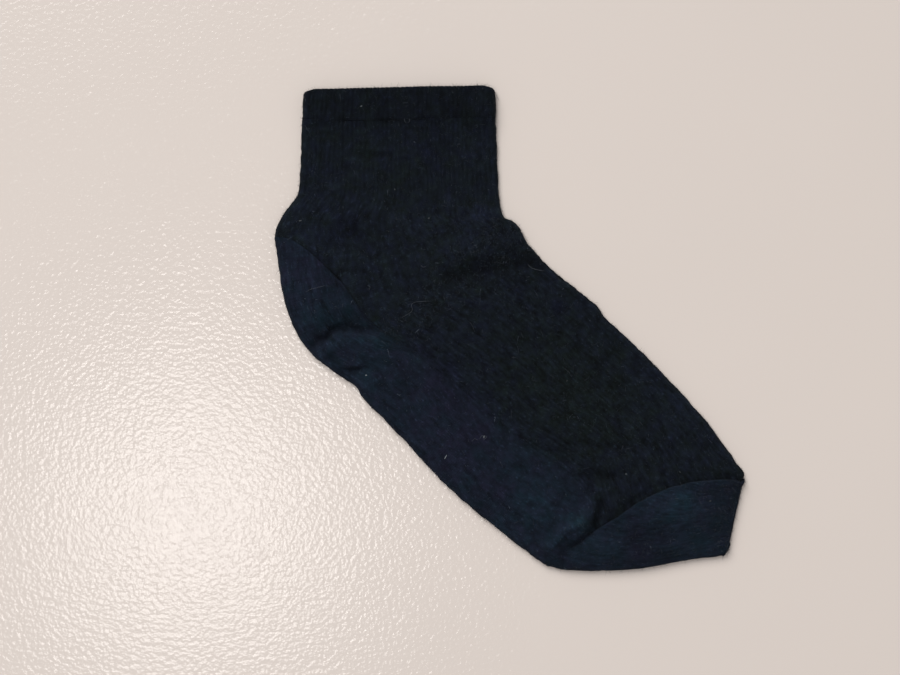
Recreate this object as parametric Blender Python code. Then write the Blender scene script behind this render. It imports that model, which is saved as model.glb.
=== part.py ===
"""An adult quarter-length sock, laid flat on its side with the leg up and the foot to the lower right.

The sock is one flattened tube of cloth that rests on z = 0. Sections run across it from its front fold
(shin and instep) to its back fold (heel and sole), in order from the opening to the toe. Each piece is the
stretch of that tube between its seams, as a wall with an outer face, an inner face and a rim.

A place on the cloth is a section number, which may lie between two rows of SECTIONS, and a turn: 0 at the
front fold, through the shown side to 0.5 at the back fold, and through the hidden side to 1.
"""

import math
from collections import namedtuple

import bmesh
import bpy
import numpy as np

MM = 0.001

# Driving dimensions, in millimetres.
RIB_WALL = 1.4
PLAIN_WALL = 1.2
WELT_WALL = 2.4  # the welt is turned, so its wall is two layers thick
SEAM_GAP = 0.3
LEAST_SPACE = 0.4  # between the shown side and the hidden side
FOLD_REACH = 2.4  # how far in from its edge a fold is round
FOLD_TURN = 0.0135  # the turn that a quarter of a fold takes up

WELT_PROUD = 2 * (WELT_WALL - RIB_WALL)  # how far the welt stands over the leg
TIP_HOLLOW = 0.97  # the share of the toe cap's length that is hollow

# The mesh's steps, round a quarter of a fold and across each flat stretch between a fold and a side seam.
FOLD_STEPS = 3
SHOWN_FRONT_STEPS = 11
SHOWN_BACK_STEPS = 6
HIDDEN_FRONT_STEPS = 6
HIDDEN_BACK_STEPS = 10
WELT_ROWS = 4
LEG_ROWS = 11
HEEL_ROWS = 9
SOLE_ROWS = 17
TOE_ROWS = 9
SHARP_ANGLE = math.radians(50)

# Steps of the searches and of the slopes that are taken from the surface itself.
HALVINGS = 40
PROBE = 0.01
PROBE_TURN = 0.00025
SLANT = 0.3  # a seam is treated as crossing the sections at no less than this sine

RIB_COLOUR = (0.0070, 0.0091, 0.0130, 1.0)
PLAIN_COLOUR = (0.0091, 0.0123, 0.0194, 1.0)

Section = namedtuple("Section", "front_x front_y back_x back_y fold_height crown_height")
SECTIONS = (
    Section(-9.6, 101.5, -83.2, 99.9, 3.6, 3.6),  # the opening
    Section(-6.5, 99.9, -86.0, 98.2, 3.6, 3.6),
    Section(-5.8, 95.5, -86.5, 94.0, 3.6, 3.7),
    Section(-5.7, 87.9, -86.7, 87.4, 3.6, 3.7),  # the welt's foot
    Section(-5.5, 79.0, -87.1, 78.5, 3.6, 3.6),
    Section(-5.1, 68.0, -87.7, 67.0, 3.6, 3.6),
    Section(-4.3, 54.5, -88.5, 56.5, 3.8, 3.8),
    Section(-3.3, 48.4, -91.8, 51.8, 4.0, 4.2),
    Section(-1.7, 46.1, -95.6, 46.2, 4.2, 4.5),  # the front notch
    Section(1.3, 44.9, -98.3, 40.2, 4.4, 4.8),
    Section(3.9, 42.4, -97.7, 33.0, 4.6, 5.1),  # the heel's corner
    Section(5.9, 38.6, -95.8, 20.0, 4.7, 5.5),
    Section(7.8, 35.2, -93.0, 7.2, 4.7, 5.7),
    Section(10.2, 32.7, -86.3, -6.7, 4.7, 5.5),
    Section(13.0, 29.4, -75.8, -16.8, 4.6, 5.2),
    Section(16.2, 26.0, -64.4, -24.6, 4.4, 4.8),  # the heel pocket's foot
    Section(18.8, 23.8, -61.3, -29.4, 4.3, 4.6),
    Section(22.6, 20.6, -54.2, -36.6, 4.2, 4.4),
    Section(28.8, 15.8, -43.9, -47.2, 4.0, 4.2),
    Section(36.7, 9.2, -31.0, -61.4, 3.9, 4.1),
    Section(40.5, 4.0, -26.0, -66.4, 3.9, 4.1),
    Section(49.6, -4.4, -15.6, -75.6, 3.9, 4.1),
    Section(59.9, -14.3, -4.6, -84.2, 4.0, 4.2),
    Section(69.5, -24.4, 6.2, -92.8, 4.2, 4.5),
    Section(78.8, -34.6, 15.5, -99.2, 4.4, 4.9),  # the toe seam meets the back fold
    Section(86.9, -44.8, 26.0, -101.5, 4.5, 5.2),
    Section(94.0, -54.8, 40.5, -101.6, 4.5, 5.3),
    Section(98.4, -61.6, 57.0, -100.4, 4.3, 5.0),  # the toe's front corner
    Section(96.9, -68.5, 69.5, -98.0, 4.1, 4.6),
    Section(95.2, -76.0, 78.5, -96.7, 3.9, 4.2),
    Section(93.6, -83.5, 84.8, -96.0, 3.7, 3.8),
    Section(92.3, -89.4, 88.9, -95.2, 3.5, 3.5),  # the tip
)
WELT_FOOT = 3.0
HEEL_FOOT = 15.0
TIP = len(SECTIONS) - 1.0

# Seams, each from the front fold or the gusset point towards the back fold, as (x, y) on the flat sock.
FRONT_NOTCH = (2.4, 44.0)
SHOWN_GUSSET = (-57.0, 2.5)
HIDDEN_GUSSET = (-35.0, 24.0)
BACK_CORNER = (-98.4, 38.2)
TOE_CORNER = (97.4, -64.0)
TOE_FOOT = (15.2, -99.0)
SHOWN_SIDE = (
    SHOWN_GUSSET, (-51.5, -2.0), (-40.0, -9.0), (-20.0, -25.5), (1.5, -44.5), (29.0, -64.0), (36.0, -84.5)
)
HIDDEN_SIDE = (
    HIDDEN_GUSSET, (-20.0, 9.0), (-2.0, -9.0), (20.0, -31.0), (41.0, -52.5), (62.0, -71.0), (66.0, -74.5)
)
SHOWN_HEEL = (SHOWN_GUSSET, (-76.0, 22.2), (-92.5, 36.6), BACK_CORNER)
HIDDEN_HEEL = (HIDDEN_GUSSET, (-62.0, 33.0), (-90.0, 37.5), BACK_CORNER)
SHOWN_TOE = (
    TOE_CORNER, (90.0, -62.6), (73.7, -63.8), (59.9, -69.7), (48.5, -77.7), (36.0, -84.5), (24.0, -92.0), TOE_FOOT
)
HIDDEN_TOE = (TOE_CORNER, (84.0, -66.0), (66.0, -74.5), (45.0, -83.0), (28.0, -90.0), TOE_FOOT)

# Large folds of the shown side: each passes through three places, and lifts the cloth or sinks it (mm).
Crease = namedtuple("Crease", "start via end reach lift")
CREASES = (
    Crease((-84.0, -8.5), (-68.0, 0.0), (-57.0, -1.0), 3.4, -1.7),  # the heel's gore fold
    Crease((-76.0, -11.0), (-67.0, -7.5), (-57.0, -9.0), 4.5, 0.9),  # the bulge below it
    Crease((-68.5, -16.0), (-64.0, -14.6), (-58.0, -15.5), 2.6, -0.9),
    Crease((13.0, 28.4), (-5.0, 25.6), (-24.0, 21.5), 4.2, -1.0),  # the ankle's fold
    Crease((2.0, 38.0), (-10.0, 36.0), (-26.0, 30.0), 5.5, 0.6),
    Crease((38.5, -73.5), (35.0, -85.5), (21.5, -97.0), 3.4, -1.8),  # the toe's valley
    Crease((30.0, -75.5), (25.5, -82.0), (13.5, -93.0), 4.6, 0.9),  # the ridge beside it
    Crease((60.0, -78.0), (74.0, -75.0), (88.0, -73.0), 7.0, 0.6),
)


def between_rows(values, section):
    """A smooth curve through values, one for each row of SECTIONS, read at section (Catmull-Rom)."""
    values = np.asarray(values, float)
    ends = 2 * values[0] - values[1], 2 * values[-1] - values[-2]
    held = np.concatenate([[ends[0]], values, [ends[1]]])
    row = np.clip(np.floor(section).astype(int), 0, len(values) - 2)
    t = section - row
    a, b, c, d = (held[row + k] for k in range(4))
    return b + 0.5 * t * (c - a + t * (2 * a - 5 * b + 4 * c - d + t * (3 * (b - c) + d - a)))


def column(name, section):
    return between_rows([getattr(row, name) for row in SECTIONS], section)


def fold_places(section):
    """The front fold's and the back fold's edges at section, as arrays that end in (x, y)."""
    front = np.stack([column("front_x", section), column("front_y", section)], axis=-1)
    back = np.stack([column("back_x", section), column("back_y", section)], axis=-1)
    return front, back


def crease_lift(places):
    """How far the creases move the shown side up or down at each (x, y)."""
    lift = np.zeros(places.shape[:-1])
    for crease in CREASES:
        corners = np.array([crease.start, crease.via, crease.end])
        nearest = np.full(lift.shape, np.inf)
        for a, b in zip(corners[:-1], corners[1:]):
            share = np.clip((places - a) @ (b - a) / ((b - a) @ (b - a)), 0, 1)
            off = places - a - share[..., None] * (b - a)
            nearest = np.minimum(nearest, np.linalg.norm(off, axis=-1))
        lift += crease.lift * np.exp(-((nearest / crease.reach) ** 2))
    return lift


def stack_height(section, across, places):
    """The outside height of the two layers, across being 0 at the front fold and 1 at the back fold."""
    fold, crown = column("fold_height", section), column("crown_height", section)
    swell = np.sin(np.pi * np.clip(across, 0, 1)) ** 0.6
    least = 2 * RIB_WALL + LEAST_SPACE
    return np.maximum(fold + (crown - fold) * swell + crease_lift(places), least)


def cloth_places(section, turn, depth, proud):
    """Points of the cloth, depth inside its outer face, on a stack that is proud millimetres thicker."""
    front, back = fold_places(section)
    width = np.linalg.norm(back - front, axis=-1)
    shown = turn <= 0.5
    half_turn = 2 * np.where(shown, turn, 1 - turn)
    edge = 2 * FOLD_TURN
    flat_share = (half_turn - edge) / (1 - 2 * edge)
    from_tip = np.minimum(half_turn, 1 - half_turn)
    angle = np.pi / 2 * np.clip(from_tip / edge, 0, 1)
    fold_inset = depth + (FOLD_REACH - depth) * (1 - np.cos(angle))
    flat_inset = FOLD_REACH + (width - 2 * FOLD_REACH) * flat_share
    round_inset = np.where(half_turn < 0.5, fold_inset, width - fold_inset)
    inset = np.where(from_tip < edge, round_inset, flat_inset)
    across = inset / width
    places = front + (back - front) * across[..., None]
    tips = np.where((half_turn < 0.5)[..., None], front, back)
    round_half = (stack_height(section, 0.0, tips) + proud) / 2
    round_rise = (round_half - depth) * np.sin(angle)
    round_z = np.where(shown, round_half + round_rise, round_half - round_rise)
    flat_z = np.where(shown, stack_height(section, across, places) + proud - depth, depth)
    z = np.where(from_tip < edge, round_z, flat_z)
    return np.concatenate([places, z[..., None]], axis=-1)


def on_the_cloth(place, shown):
    """The (section, turn) of a place (x, y), by halving the stretch of sections that holds it."""
    low, high = 0.0, TIP
    for _ in range(HALVINGS):
        middle = (low + high) / 2
        front, back = fold_places(middle)
        line, reach = back - front, np.subtract(place, front)
        beyond = line[0] * reach[1] > line[1] * reach[0]
        low, high = (middle, high) if beyond else (low, middle)
    front, back = fold_places(low)
    width = np.linalg.norm(back - front)
    inset = np.subtract(place, front) @ (back - front) / width
    flat_share = (inset - FOLD_REACH) / (width - 2 * FOLD_REACH)
    half_turn = np.clip(2 * FOLD_TURN + (1 - 4 * FOLD_TURN) * flat_share, 0, 1)
    return low, half_turn / 2 if shown else 1 - half_turn / 2


def seam(places, shown):
    """The sections and the turns of the places (x, y) that a seam passes."""
    found = np.array([on_the_cloth(place, shown) for place in places])
    return found[:, 0], found[:, 1]


def round_seam(shown_places, hidden_places):
    """A seam all round the tube, as the function that gives its section at a turn."""
    shown_sections, shown_turns = seam(shown_places, True)
    hidden_sections, hidden_turns = seam(hidden_places, False)
    sections = np.concatenate([shown_sections, hidden_sections[::-1]])
    turns = np.concatenate([shown_turns, hidden_turns[::-1]])
    return lambda turn: np.interp(turn % 1, turns, sections)


def side_seam(places, shown):
    """A seam along the foot, as the function that gives its turn at a section."""
    sections, turns = seam(places, shown)
    return lambda section: np.interp(section, sections, turns)


def level_seam(section):
    """A seam that keeps to one section all round."""
    return lambda turn: np.full_like(turn, section)


def strip(start, end, steps):
    """Even steps from start to end, without the end."""
    return start + (end - start) * np.arange(steps) / steps


def front_turns(hidden_side, shown_side):
    """Turns over the front fold, from the hidden side's seam to the shown side's. Below 0 is hidden."""
    return np.concatenate([
        strip(hidden_side - 1, -FOLD_TURN, HIDDEN_FRONT_STEPS),
        strip(-FOLD_TURN, FOLD_TURN, 2 * FOLD_STEPS),
        strip(FOLD_TURN, shown_side, SHOWN_FRONT_STEPS),
        [shown_side],
    ])


def back_turns(shown_side, hidden_side):
    """Turns over the back fold, from the shown side's seam to the hidden side's."""
    return np.concatenate([
        strip(shown_side, 0.5 - FOLD_TURN, SHOWN_BACK_STEPS),
        strip(0.5 - FOLD_TURN, 0.5 + FOLD_TURN, 2 * FOLD_STEPS),
        strip(0.5 + FOLD_TURN, hidden_side, HIDDEN_BACK_STEPS),
        [hidden_side],
    ])


def ring_turns(shown_side, hidden_side):
    """Turns all round the tube, from the hidden side's seam over both folds and back to it."""
    front, back = front_turns(hidden_side, shown_side), back_turns(shown_side, hidden_side)
    return np.concatenate([front[:-1], back[:-1]])


def tube_grid(start, end, turns, rows):
    """The sections and turns of a tube between two round seams, with a column at each of turns."""
    share = np.linspace(0, 1, rows + 1)[:, None]
    return start(turns) * (1 - share) + end(turns) * share, np.tile(turns, (rows + 1, 1))


def patch_grid(start, end, over_fold, side_seams, side_rows):
    """The sections and turns of a patch between two round seams, over one fold.

    side_seams are the seams of its first and last columns, and side_rows the sections of its rows on each.
    """
    first_side, last_side = (side(rows) for side, rows in zip(side_seams, side_rows))
    turns = np.array([over_fold(first, last) for first, last in zip(first_side, last_side)])
    first_share, last_share = ((rows - rows[0]) / (rows[-1] - rows[0]) for rows in side_rows)
    across = (turns[0] - turns[0, 0]) / (turns[0, -1] - turns[0, 0])
    share = first_share[:, None] * (1 - across) + last_share[:, None] * across
    return start(turns[0]) * (1 - share) + end(turns[-1]) * share, turns


def slope(sections, turns, by_section, by_turn):
    """How far the cloth's outer face runs, in millimetres as (x, y, z), for a step of one section or one turn."""
    ahead = cloth_places(np.clip(sections + by_section, 0, TIP), (turns + by_turn) % 1, 0.0, 0.0)
    behind = cloth_places(np.clip(sections - by_section, 0, TIP), (turns - by_turn) % 1, 0.0, 0.0)
    return (ahead - behind) / (2 * (by_section + by_turn))


def away_from(line, steps):
    """How far each of steps leads away from a line of points, and not along it."""
    along = np.gradient(line, axis=0)
    apart = np.linalg.norm(np.cross(steps, along), axis=-1) / np.linalg.norm(along, axis=-1)
    return np.maximum(apart, SLANT * np.linalg.norm(steps, axis=-1))


def pull_in(sections, turns, closed):
    """Moves a grid's edges half a seam's gap inwards."""
    places = cloth_places(sections, turns % 1, 0.0, 0.0)
    by_section = slope(sections, turns, PROBE, 0.0)
    by_turn = slope(sections, turns, 0.0, PROBE_TURN)
    sections, turns = sections.copy(), turns.copy()
    for row, inwards in ((0, 1), (-1, -1)):
        sections[row] += inwards * SEAM_GAP / 2 / away_from(places[row], by_section[row])
    if not closed:
        turning = np.sign(turns[0, 1] - turns[0, 0])
        for side, inwards in ((0, turning), (-1, -turning)):
            turns[:, side] += inwards * SEAM_GAP / 2 / away_from(places[:, side], by_turn[:, side])
    return sections, turns


def make_material(name, colour):
    material = bpy.data.materials.new(name)
    material.use_nodes = True
    shader = material.node_tree.nodes["Principled BSDF"]
    shader.inputs["Base Color"].default_value = colour
    shader.inputs["Roughness"].default_value = 0.95
    shader.inputs["Metallic"].default_value = 0.0
    return material


def add_grid(mesh, places, closed):
    """Adds a grid of vertices and its faces, and returns the vertices."""
    rows = [[mesh.verts.new(place) for place in row] for row in places * MM]
    for row, following in zip(rows[:-1], rows[1:]):
        join_rows(mesh, row, following, closed)
    return rows


def join_rows(mesh, row, following, closed):
    """Faces between two rows of vertices, which meet again at their ends if the grid is closed."""
    count = len(row) if closed else len(row) - 1
    for k in range(count):
        after = (k + 1) % len(row)
        mesh.faces.new((row[k], row[after], following[after], following[k]))


def make_cloth(name, grid, wall, colour, proud=0.0, closed=False, ends_in_tip=False):
    """A wall of cloth over a grid: an outer face, an inner face, and rims where it ends."""
    sections, turns = grid
    outer_places = cloth_places(sections, turns % 1, 0.0, proud)
    if ends_in_tip:
        sections = sections[0] + (sections - sections[0]) * TIP_HOLLOW
    inner_places = cloth_places(sections, turns % 1, wall, proud)
    mesh = bmesh.new()
    outer = add_grid(mesh, outer_places, closed)
    inner = add_grid(mesh, inner_places, closed)
    join_rows(mesh, outer[0], inner[0], closed)
    if ends_in_tip:
        mesh.faces.new(outer[-1])
        mesh.faces.new(inner[-1])
    else:
        join_rows(mesh, outer[-1], inner[-1], closed)
    if not closed:
        for side in (0, -1):
            join_rows(mesh, [row[side] for row in outer], [row[side] for row in inner], False)
    bmesh.ops.recalc_face_normals(mesh, faces=mesh.faces)
    data = bpy.data.meshes.new(name)
    mesh.to_mesh(data)
    mesh.free()
    data.shade_smooth()
    data.set_sharp_from_angle(angle=SHARP_ANGLE)
    data.materials.append(make_material(name, colour))
    piece = bpy.data.objects.new(name, data)
    bpy.context.scene.collection.objects.link(piece)


def make_sock():
    ankle = round_seam((FRONT_NOTCH, *SHOWN_HEEL), (FRONT_NOTCH, *HIDDEN_HEEL))
    toe = round_seam(SHOWN_TOE, HIDDEN_TOE)
    shown_side, hidden_side = side_seam(SHOWN_SIDE, True), side_seam(HIDDEN_SIDE, False)
    shown_gusset, hidden_gusset = on_the_cloth(SHOWN_GUSSET, True), on_the_cloth(HIDDEN_GUSSET, False)
    shown_toe, hidden_toe = on_the_cloth(SHOWN_SIDE[-1], True), on_the_cloth(HIDDEN_SIDE[-1], False)

    gussets = ring_turns(shown_gusset[1], hidden_gusset[1])
    toe_sides = ring_turns(shown_toe[1], hidden_toe[1])
    welt_grid = tube_grid(level_seam(0.0), level_seam(WELT_FOOT), gussets, WELT_ROWS)
    leg_grid = tube_grid(level_seam(WELT_FOOT), ankle, gussets, LEG_ROWS)
    toe_grid = tube_grid(toe, level_seam(TIP), toe_sides, TOE_ROWS)

    back_seams = (shown_side, hidden_side)
    heel_rows = [np.linspace(gusset[0], HEEL_FOOT, HEEL_ROWS + 1) for gusset in (shown_gusset, hidden_gusset)]
    sole_rows = [np.linspace(HEEL_FOOT, end[0], SOLE_ROWS + 1) for end in (shown_toe, hidden_toe)]
    instep_rows = [np.concatenate([heel[:-1], sole]) for heel, sole in zip(heel_rows, sole_rows)]
    heel_grid = patch_grid(ankle, level_seam(HEEL_FOOT), back_turns, back_seams, heel_rows)
    sole_grid = patch_grid(level_seam(HEEL_FOOT), toe, back_turns, back_seams, sole_rows)
    instep_grid = patch_grid(ankle, toe, front_turns, back_seams[::-1], instep_rows[::-1])

    make_cloth("cuff_welt", pull_in(*welt_grid, True), WELT_WALL, RIB_COLOUR, WELT_PROUD, closed=True)
    make_cloth("leg", pull_in(*leg_grid, True), RIB_WALL, RIB_COLOUR, closed=True)
    make_cloth("heel_pocket", pull_in(*heel_grid, False), PLAIN_WALL, PLAIN_COLOUR)
    make_cloth("instep", pull_in(*instep_grid, False), RIB_WALL, RIB_COLOUR)
    make_cloth("sole", pull_in(*sole_grid, False), PLAIN_WALL, PLAIN_COLOUR)
    make_cloth("toe_cap", pull_in(*toe_grid, True), PLAIN_WALL, PLAIN_COLOUR, closed=True, ends_in_tip=True)


def clear_scene():
    for item in list(bpy.data.objects):
        bpy.data.objects.remove(item, do_unlink=True)


clear_scene()
make_sock()
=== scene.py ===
"""The look of a dark quarter sock laid flat on its side: knitted cloth, seams, creases, fuzz and lint.

The sock is one flattened tube of cloth that rests on z = 0. A place on it is a section number, which may
lie between two rows of SECTIONS, and a turn: 0 at the front fold, through the shown side to 0.5 at the back
fold, and through the hidden side to 1. Sizes are in millimetres until a mesh is made.
"""

import math
from collections import namedtuple

import bpy
import numpy as np
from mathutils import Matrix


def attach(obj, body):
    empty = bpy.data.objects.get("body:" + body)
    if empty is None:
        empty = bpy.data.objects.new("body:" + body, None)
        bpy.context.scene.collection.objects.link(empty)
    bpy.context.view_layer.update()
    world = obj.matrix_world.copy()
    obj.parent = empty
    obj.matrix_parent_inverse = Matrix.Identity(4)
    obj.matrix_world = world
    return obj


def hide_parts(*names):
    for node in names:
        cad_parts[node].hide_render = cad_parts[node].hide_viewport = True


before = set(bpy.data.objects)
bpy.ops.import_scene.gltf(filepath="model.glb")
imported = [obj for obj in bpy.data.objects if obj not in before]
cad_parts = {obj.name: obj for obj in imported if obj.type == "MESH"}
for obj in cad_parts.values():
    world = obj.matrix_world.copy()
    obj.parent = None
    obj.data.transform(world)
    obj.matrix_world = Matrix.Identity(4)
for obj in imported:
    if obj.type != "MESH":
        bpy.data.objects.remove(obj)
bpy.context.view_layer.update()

MM = 0.001

# The sock's build, as its solids have it.
RIB_WALL = 1.4
PLAIN_WALL = 1.2
WELT_WALL = 2.4
LEAST_SPACE = 0.4  # between the shown side and the hidden side
FOLD_REACH = 2.4  # how far in from its edge a fold is round
FOLD_TURN = 0.0135  # the turn that a fold's round takes up on each side of its edge
WELT_PROUD = 2 * (WELT_WALL - RIB_WALL)  # how far the welt stands over the leg
TIP_HOLLOW = 0.97  # the share of the toe cap's length that is hollow
WELT_FOOT = 3.0  # its section
HEEL_FOOT = 15.0

# Where this cloth differs from the solids.
EDGE_HEIGHT = 3.3  # of a fold at its edge, at least
EDGE_DROP = 1.2  # how much lower a fold's edge is than its solid's, at most
EDGE_TAPER = 9.0  # how far in from its edge a fold is lowered
SWELL_REACH = 9.0  # how far in from a fold's round the cloth swells and sags in full
WELT_CORNER = 0.3  # the radius at the welt's foot
WELT_DIP = 1.2  # how far the welt's foot dips
RAISED_REACH = 3.5  # how far a raised first row is felt along the cloth

# The knit.
RIBS = 88  # all round
RIB_STEPS = 8  # columns of the mesh in a rib
INNER_COLUMNS = 4  # the outer face's columns for one of the inner face
INNER_ROWS = 2  # and its rows
LEG_ROWS, HEEL_ROWS, SOLE_ROWS, TOE_ROWS = 100, 79, 117, 64
WELT_ROWS, WELT_CORNER_ROWS = 13, 4  # in each stretch of the welt, and round each corner
SHARP_ANGLE = math.radians(70)  # edges sharper than this are not shaded smooth
WALE = 0.95  # the width of a plain loop
COURSE = 0.8  # the height of a loop
RIB_DEPTH = 0.26
FOOT_RIB_DEPTH = 0.38

# Fuzz, fibres and lint.
HAIRS = 17000
HAIR_POINTS = 7  # of the mesh in a hair
LONG_HAIRS = 0.11  # the share that is long
FLECKS = 90
UPWARD = 0.4  # how much the cloth faces upwards, at least, where fibres and lint may lie
FIBRE_LIFT = 0.04  # of a loose fibre's middle above the cloth it lies on
LEAST_HEIGHT = 0.01  # of a hair or a thread above the floor

Section = namedtuple("Section", "front_x front_y back_x back_y fold_height crown_height")
SECTIONS = (
    Section(-9.6, 101.5, -83.2, 99.9, 3.6, 3.6),  # the opening
    Section(-6.5, 99.9, -86, 98.2, 3.6, 3.6),
    Section(-5.8, 95.5, -86.5, 94, 3.6, 3.7),
    Section(-5.7, 87.9, -86.7, 87.4, 3.6, 3.7),  # the welt's foot
    Section(-5.5, 79, -87.1, 78.5, 3.6, 3.6),
    Section(-5.1, 68, -87.7, 67, 3.6, 3.6),
    Section(-4.3, 54.5, -88.5, 56.5, 3.8, 3.8),
    Section(-3.3, 48.4, -91.8, 51.8, 4, 4.2),
    Section(-1.7, 46.1, -95.6, 46.2, 4.2, 4.5),  # the front notch
    Section(1.3, 44.9, -98.3, 40.2, 4.4, 4.8),
    Section(3.9, 42.4, -97.7, 33, 4.6, 5.1),  # the heel's corner
    Section(5.9, 38.6, -95.8, 20, 4.7, 5.5),
    Section(7.8, 35.2, -93, 7.2, 4.7, 5.7),
    Section(10.2, 32.7, -86.3, -6.7, 4.7, 5.5),
    Section(13, 29.4, -75.8, -16.8, 4.6, 5.2),
    Section(16.2, 26, -64.4, -24.6, 4.4, 4.8),  # the heel pocket's foot
    Section(18.8, 23.8, -61.3, -29.4, 4.3, 4.6),
    Section(22.6, 20.6, -54.2, -36.6, 4.2, 4.4),
    Section(28.8, 15.8, -43.9, -47.2, 4, 4.2),
    Section(36.7, 9.2, -31, -61.4, 3.9, 4.1),
    Section(40.5, 4, -26, -66.4, 3.9, 4.1),
    Section(49.6, -4.4, -15.6, -75.6, 3.9, 4.1),
    Section(59.9, -14.3, -4.6, -84.2, 4, 4.2),
    Section(69.5, -24.4, 6.2, -92.8, 4.2, 4.5),
    Section(78.8, -34.6, 15.5, -99.2, 4.4, 4.9),  # the toe seam meets the back fold
    Section(86.9, -44.8, 26, -101.5, 4.5, 5.2),
    Section(94, -54.8, 40.5, -101.6, 4.5, 5.3),
    Section(98.4, -61.6, 57, -100.4, 4.3, 5),  # the toe's front corner
    Section(96.9, -68.5, 69.5, -98, 4.1, 4.6),
    Section(95.2, -76, 78.5, -96.7, 3.9, 4.2),
    Section(93.6, -83.5, 84.8, -96, 3.7, 3.8),
    Section(92.3, -89.4, 88.9, -95.2, 3.5, 3.5),  # the tip
)
TIP = len(SECTIONS) - 1.0

# Seams, as (x, y) on the flat sock. A side runs from its gusset down the foot to the toe seam. The heel's
# and the toe's seams run from a gusset or the front fold to the back fold.
FRONT_NOTCH = (2.4, 44)
SHOWN_GUSSET = (-57, 2.5)
HIDDEN_GUSSET = (-35, 24)
BACK_CORNER = (-98.4, 38.2)
TOE_CORNER = (97.4, -64)
TOE_FOOT = (15.2, -99)
SHOWN_SIDE = (
    SHOWN_GUSSET, (-51.5, -2), (-40, -9), (-20, -25.5), (1.5, -44.5), (29, -64), (36, -84.5)
)
HIDDEN_SIDE = (
    HIDDEN_GUSSET, (-20, 9), (-2, -9), (20, -31), (41, -52.5), (62, -71), (66, -74.5)
)
SHOWN_HEEL = (
    SHOWN_GUSSET, (-63.8, 10.2), (-68.3, 16.8), (-73.2, 22), (-80, 28.6), (-87, 34.4), (-93, 37.6),
    BACK_CORNER
)
HIDDEN_HEEL = (HIDDEN_GUSSET, (-62, 33), (-90, 37.5), BACK_CORNER)
SHOWN_TOE = (
    TOE_CORNER, (90, -63), (82, -63.5), (73.5, -64.6), (62.5, -68.2), (53.2, -73), (45.5, -78.4),
    (36, -84.5), (30.5, -89), (23.5, -93.4), TOE_FOOT
)
HIDDEN_TOE = (TOE_CORNER, (84, -66), (66, -74.5), (45, -83), (28, -90), TOE_FOOT)

# Folds and wrinkles: each passes through its places, and lifts the cloth outwards or sinks it. Their lift
# also paints the cloth lighter on ridges and darker in troughs, as painted light and painted shade.
Crease = namedtuple("Crease", "places reach lift")
LARGE_CREASES = (
    Crease((  # the heel's gore fold
        (-84.6, -9.2), (-79.9, -4.9), (-76.1, -4.1), (-74.4, -0.9), (-71.1, 0.1), (-69, 0.1)
    ), 1.3, -2),
    Crease(((-81, -1.5), (-73, 3.4), (-62, 3.6)), 3.6, -0.7),  # the slope down to it
    Crease(((-76, -9.4), (-67, -5.2), (-57, -6.8)), 4, 1.5),  # the bulge below it
    Crease(((-70, -17.4), (-65.5, -18), (-59, -17)), 1.5, -0.6),
    Crease(((13, 28.4), (-5, 25.6), (-24, 21.5)), 4.4, -1.8),  # the ankle's fold
    Crease(((2, 38), (-10, 36), (-26, 30)), 5.5, 0.6),
    Crease((  # the toe's valley
        (38.2, -72.6), (37.4, -78), (35.6, -83), (32.6, -87.2), (28.8, -89.9), (25, -91.8)
    ), 1.6, -1.8),
    Crease((  # the ridge beside it
        (33.6, -75), (31, -79.6), (27.4, -82.4), (22.4, -85.4), (16, -91.5)
    ), 3, 1.5),
    Crease(((61, -75.5), (71, -74), (82, -76)), 6, 1.2),
)
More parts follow.
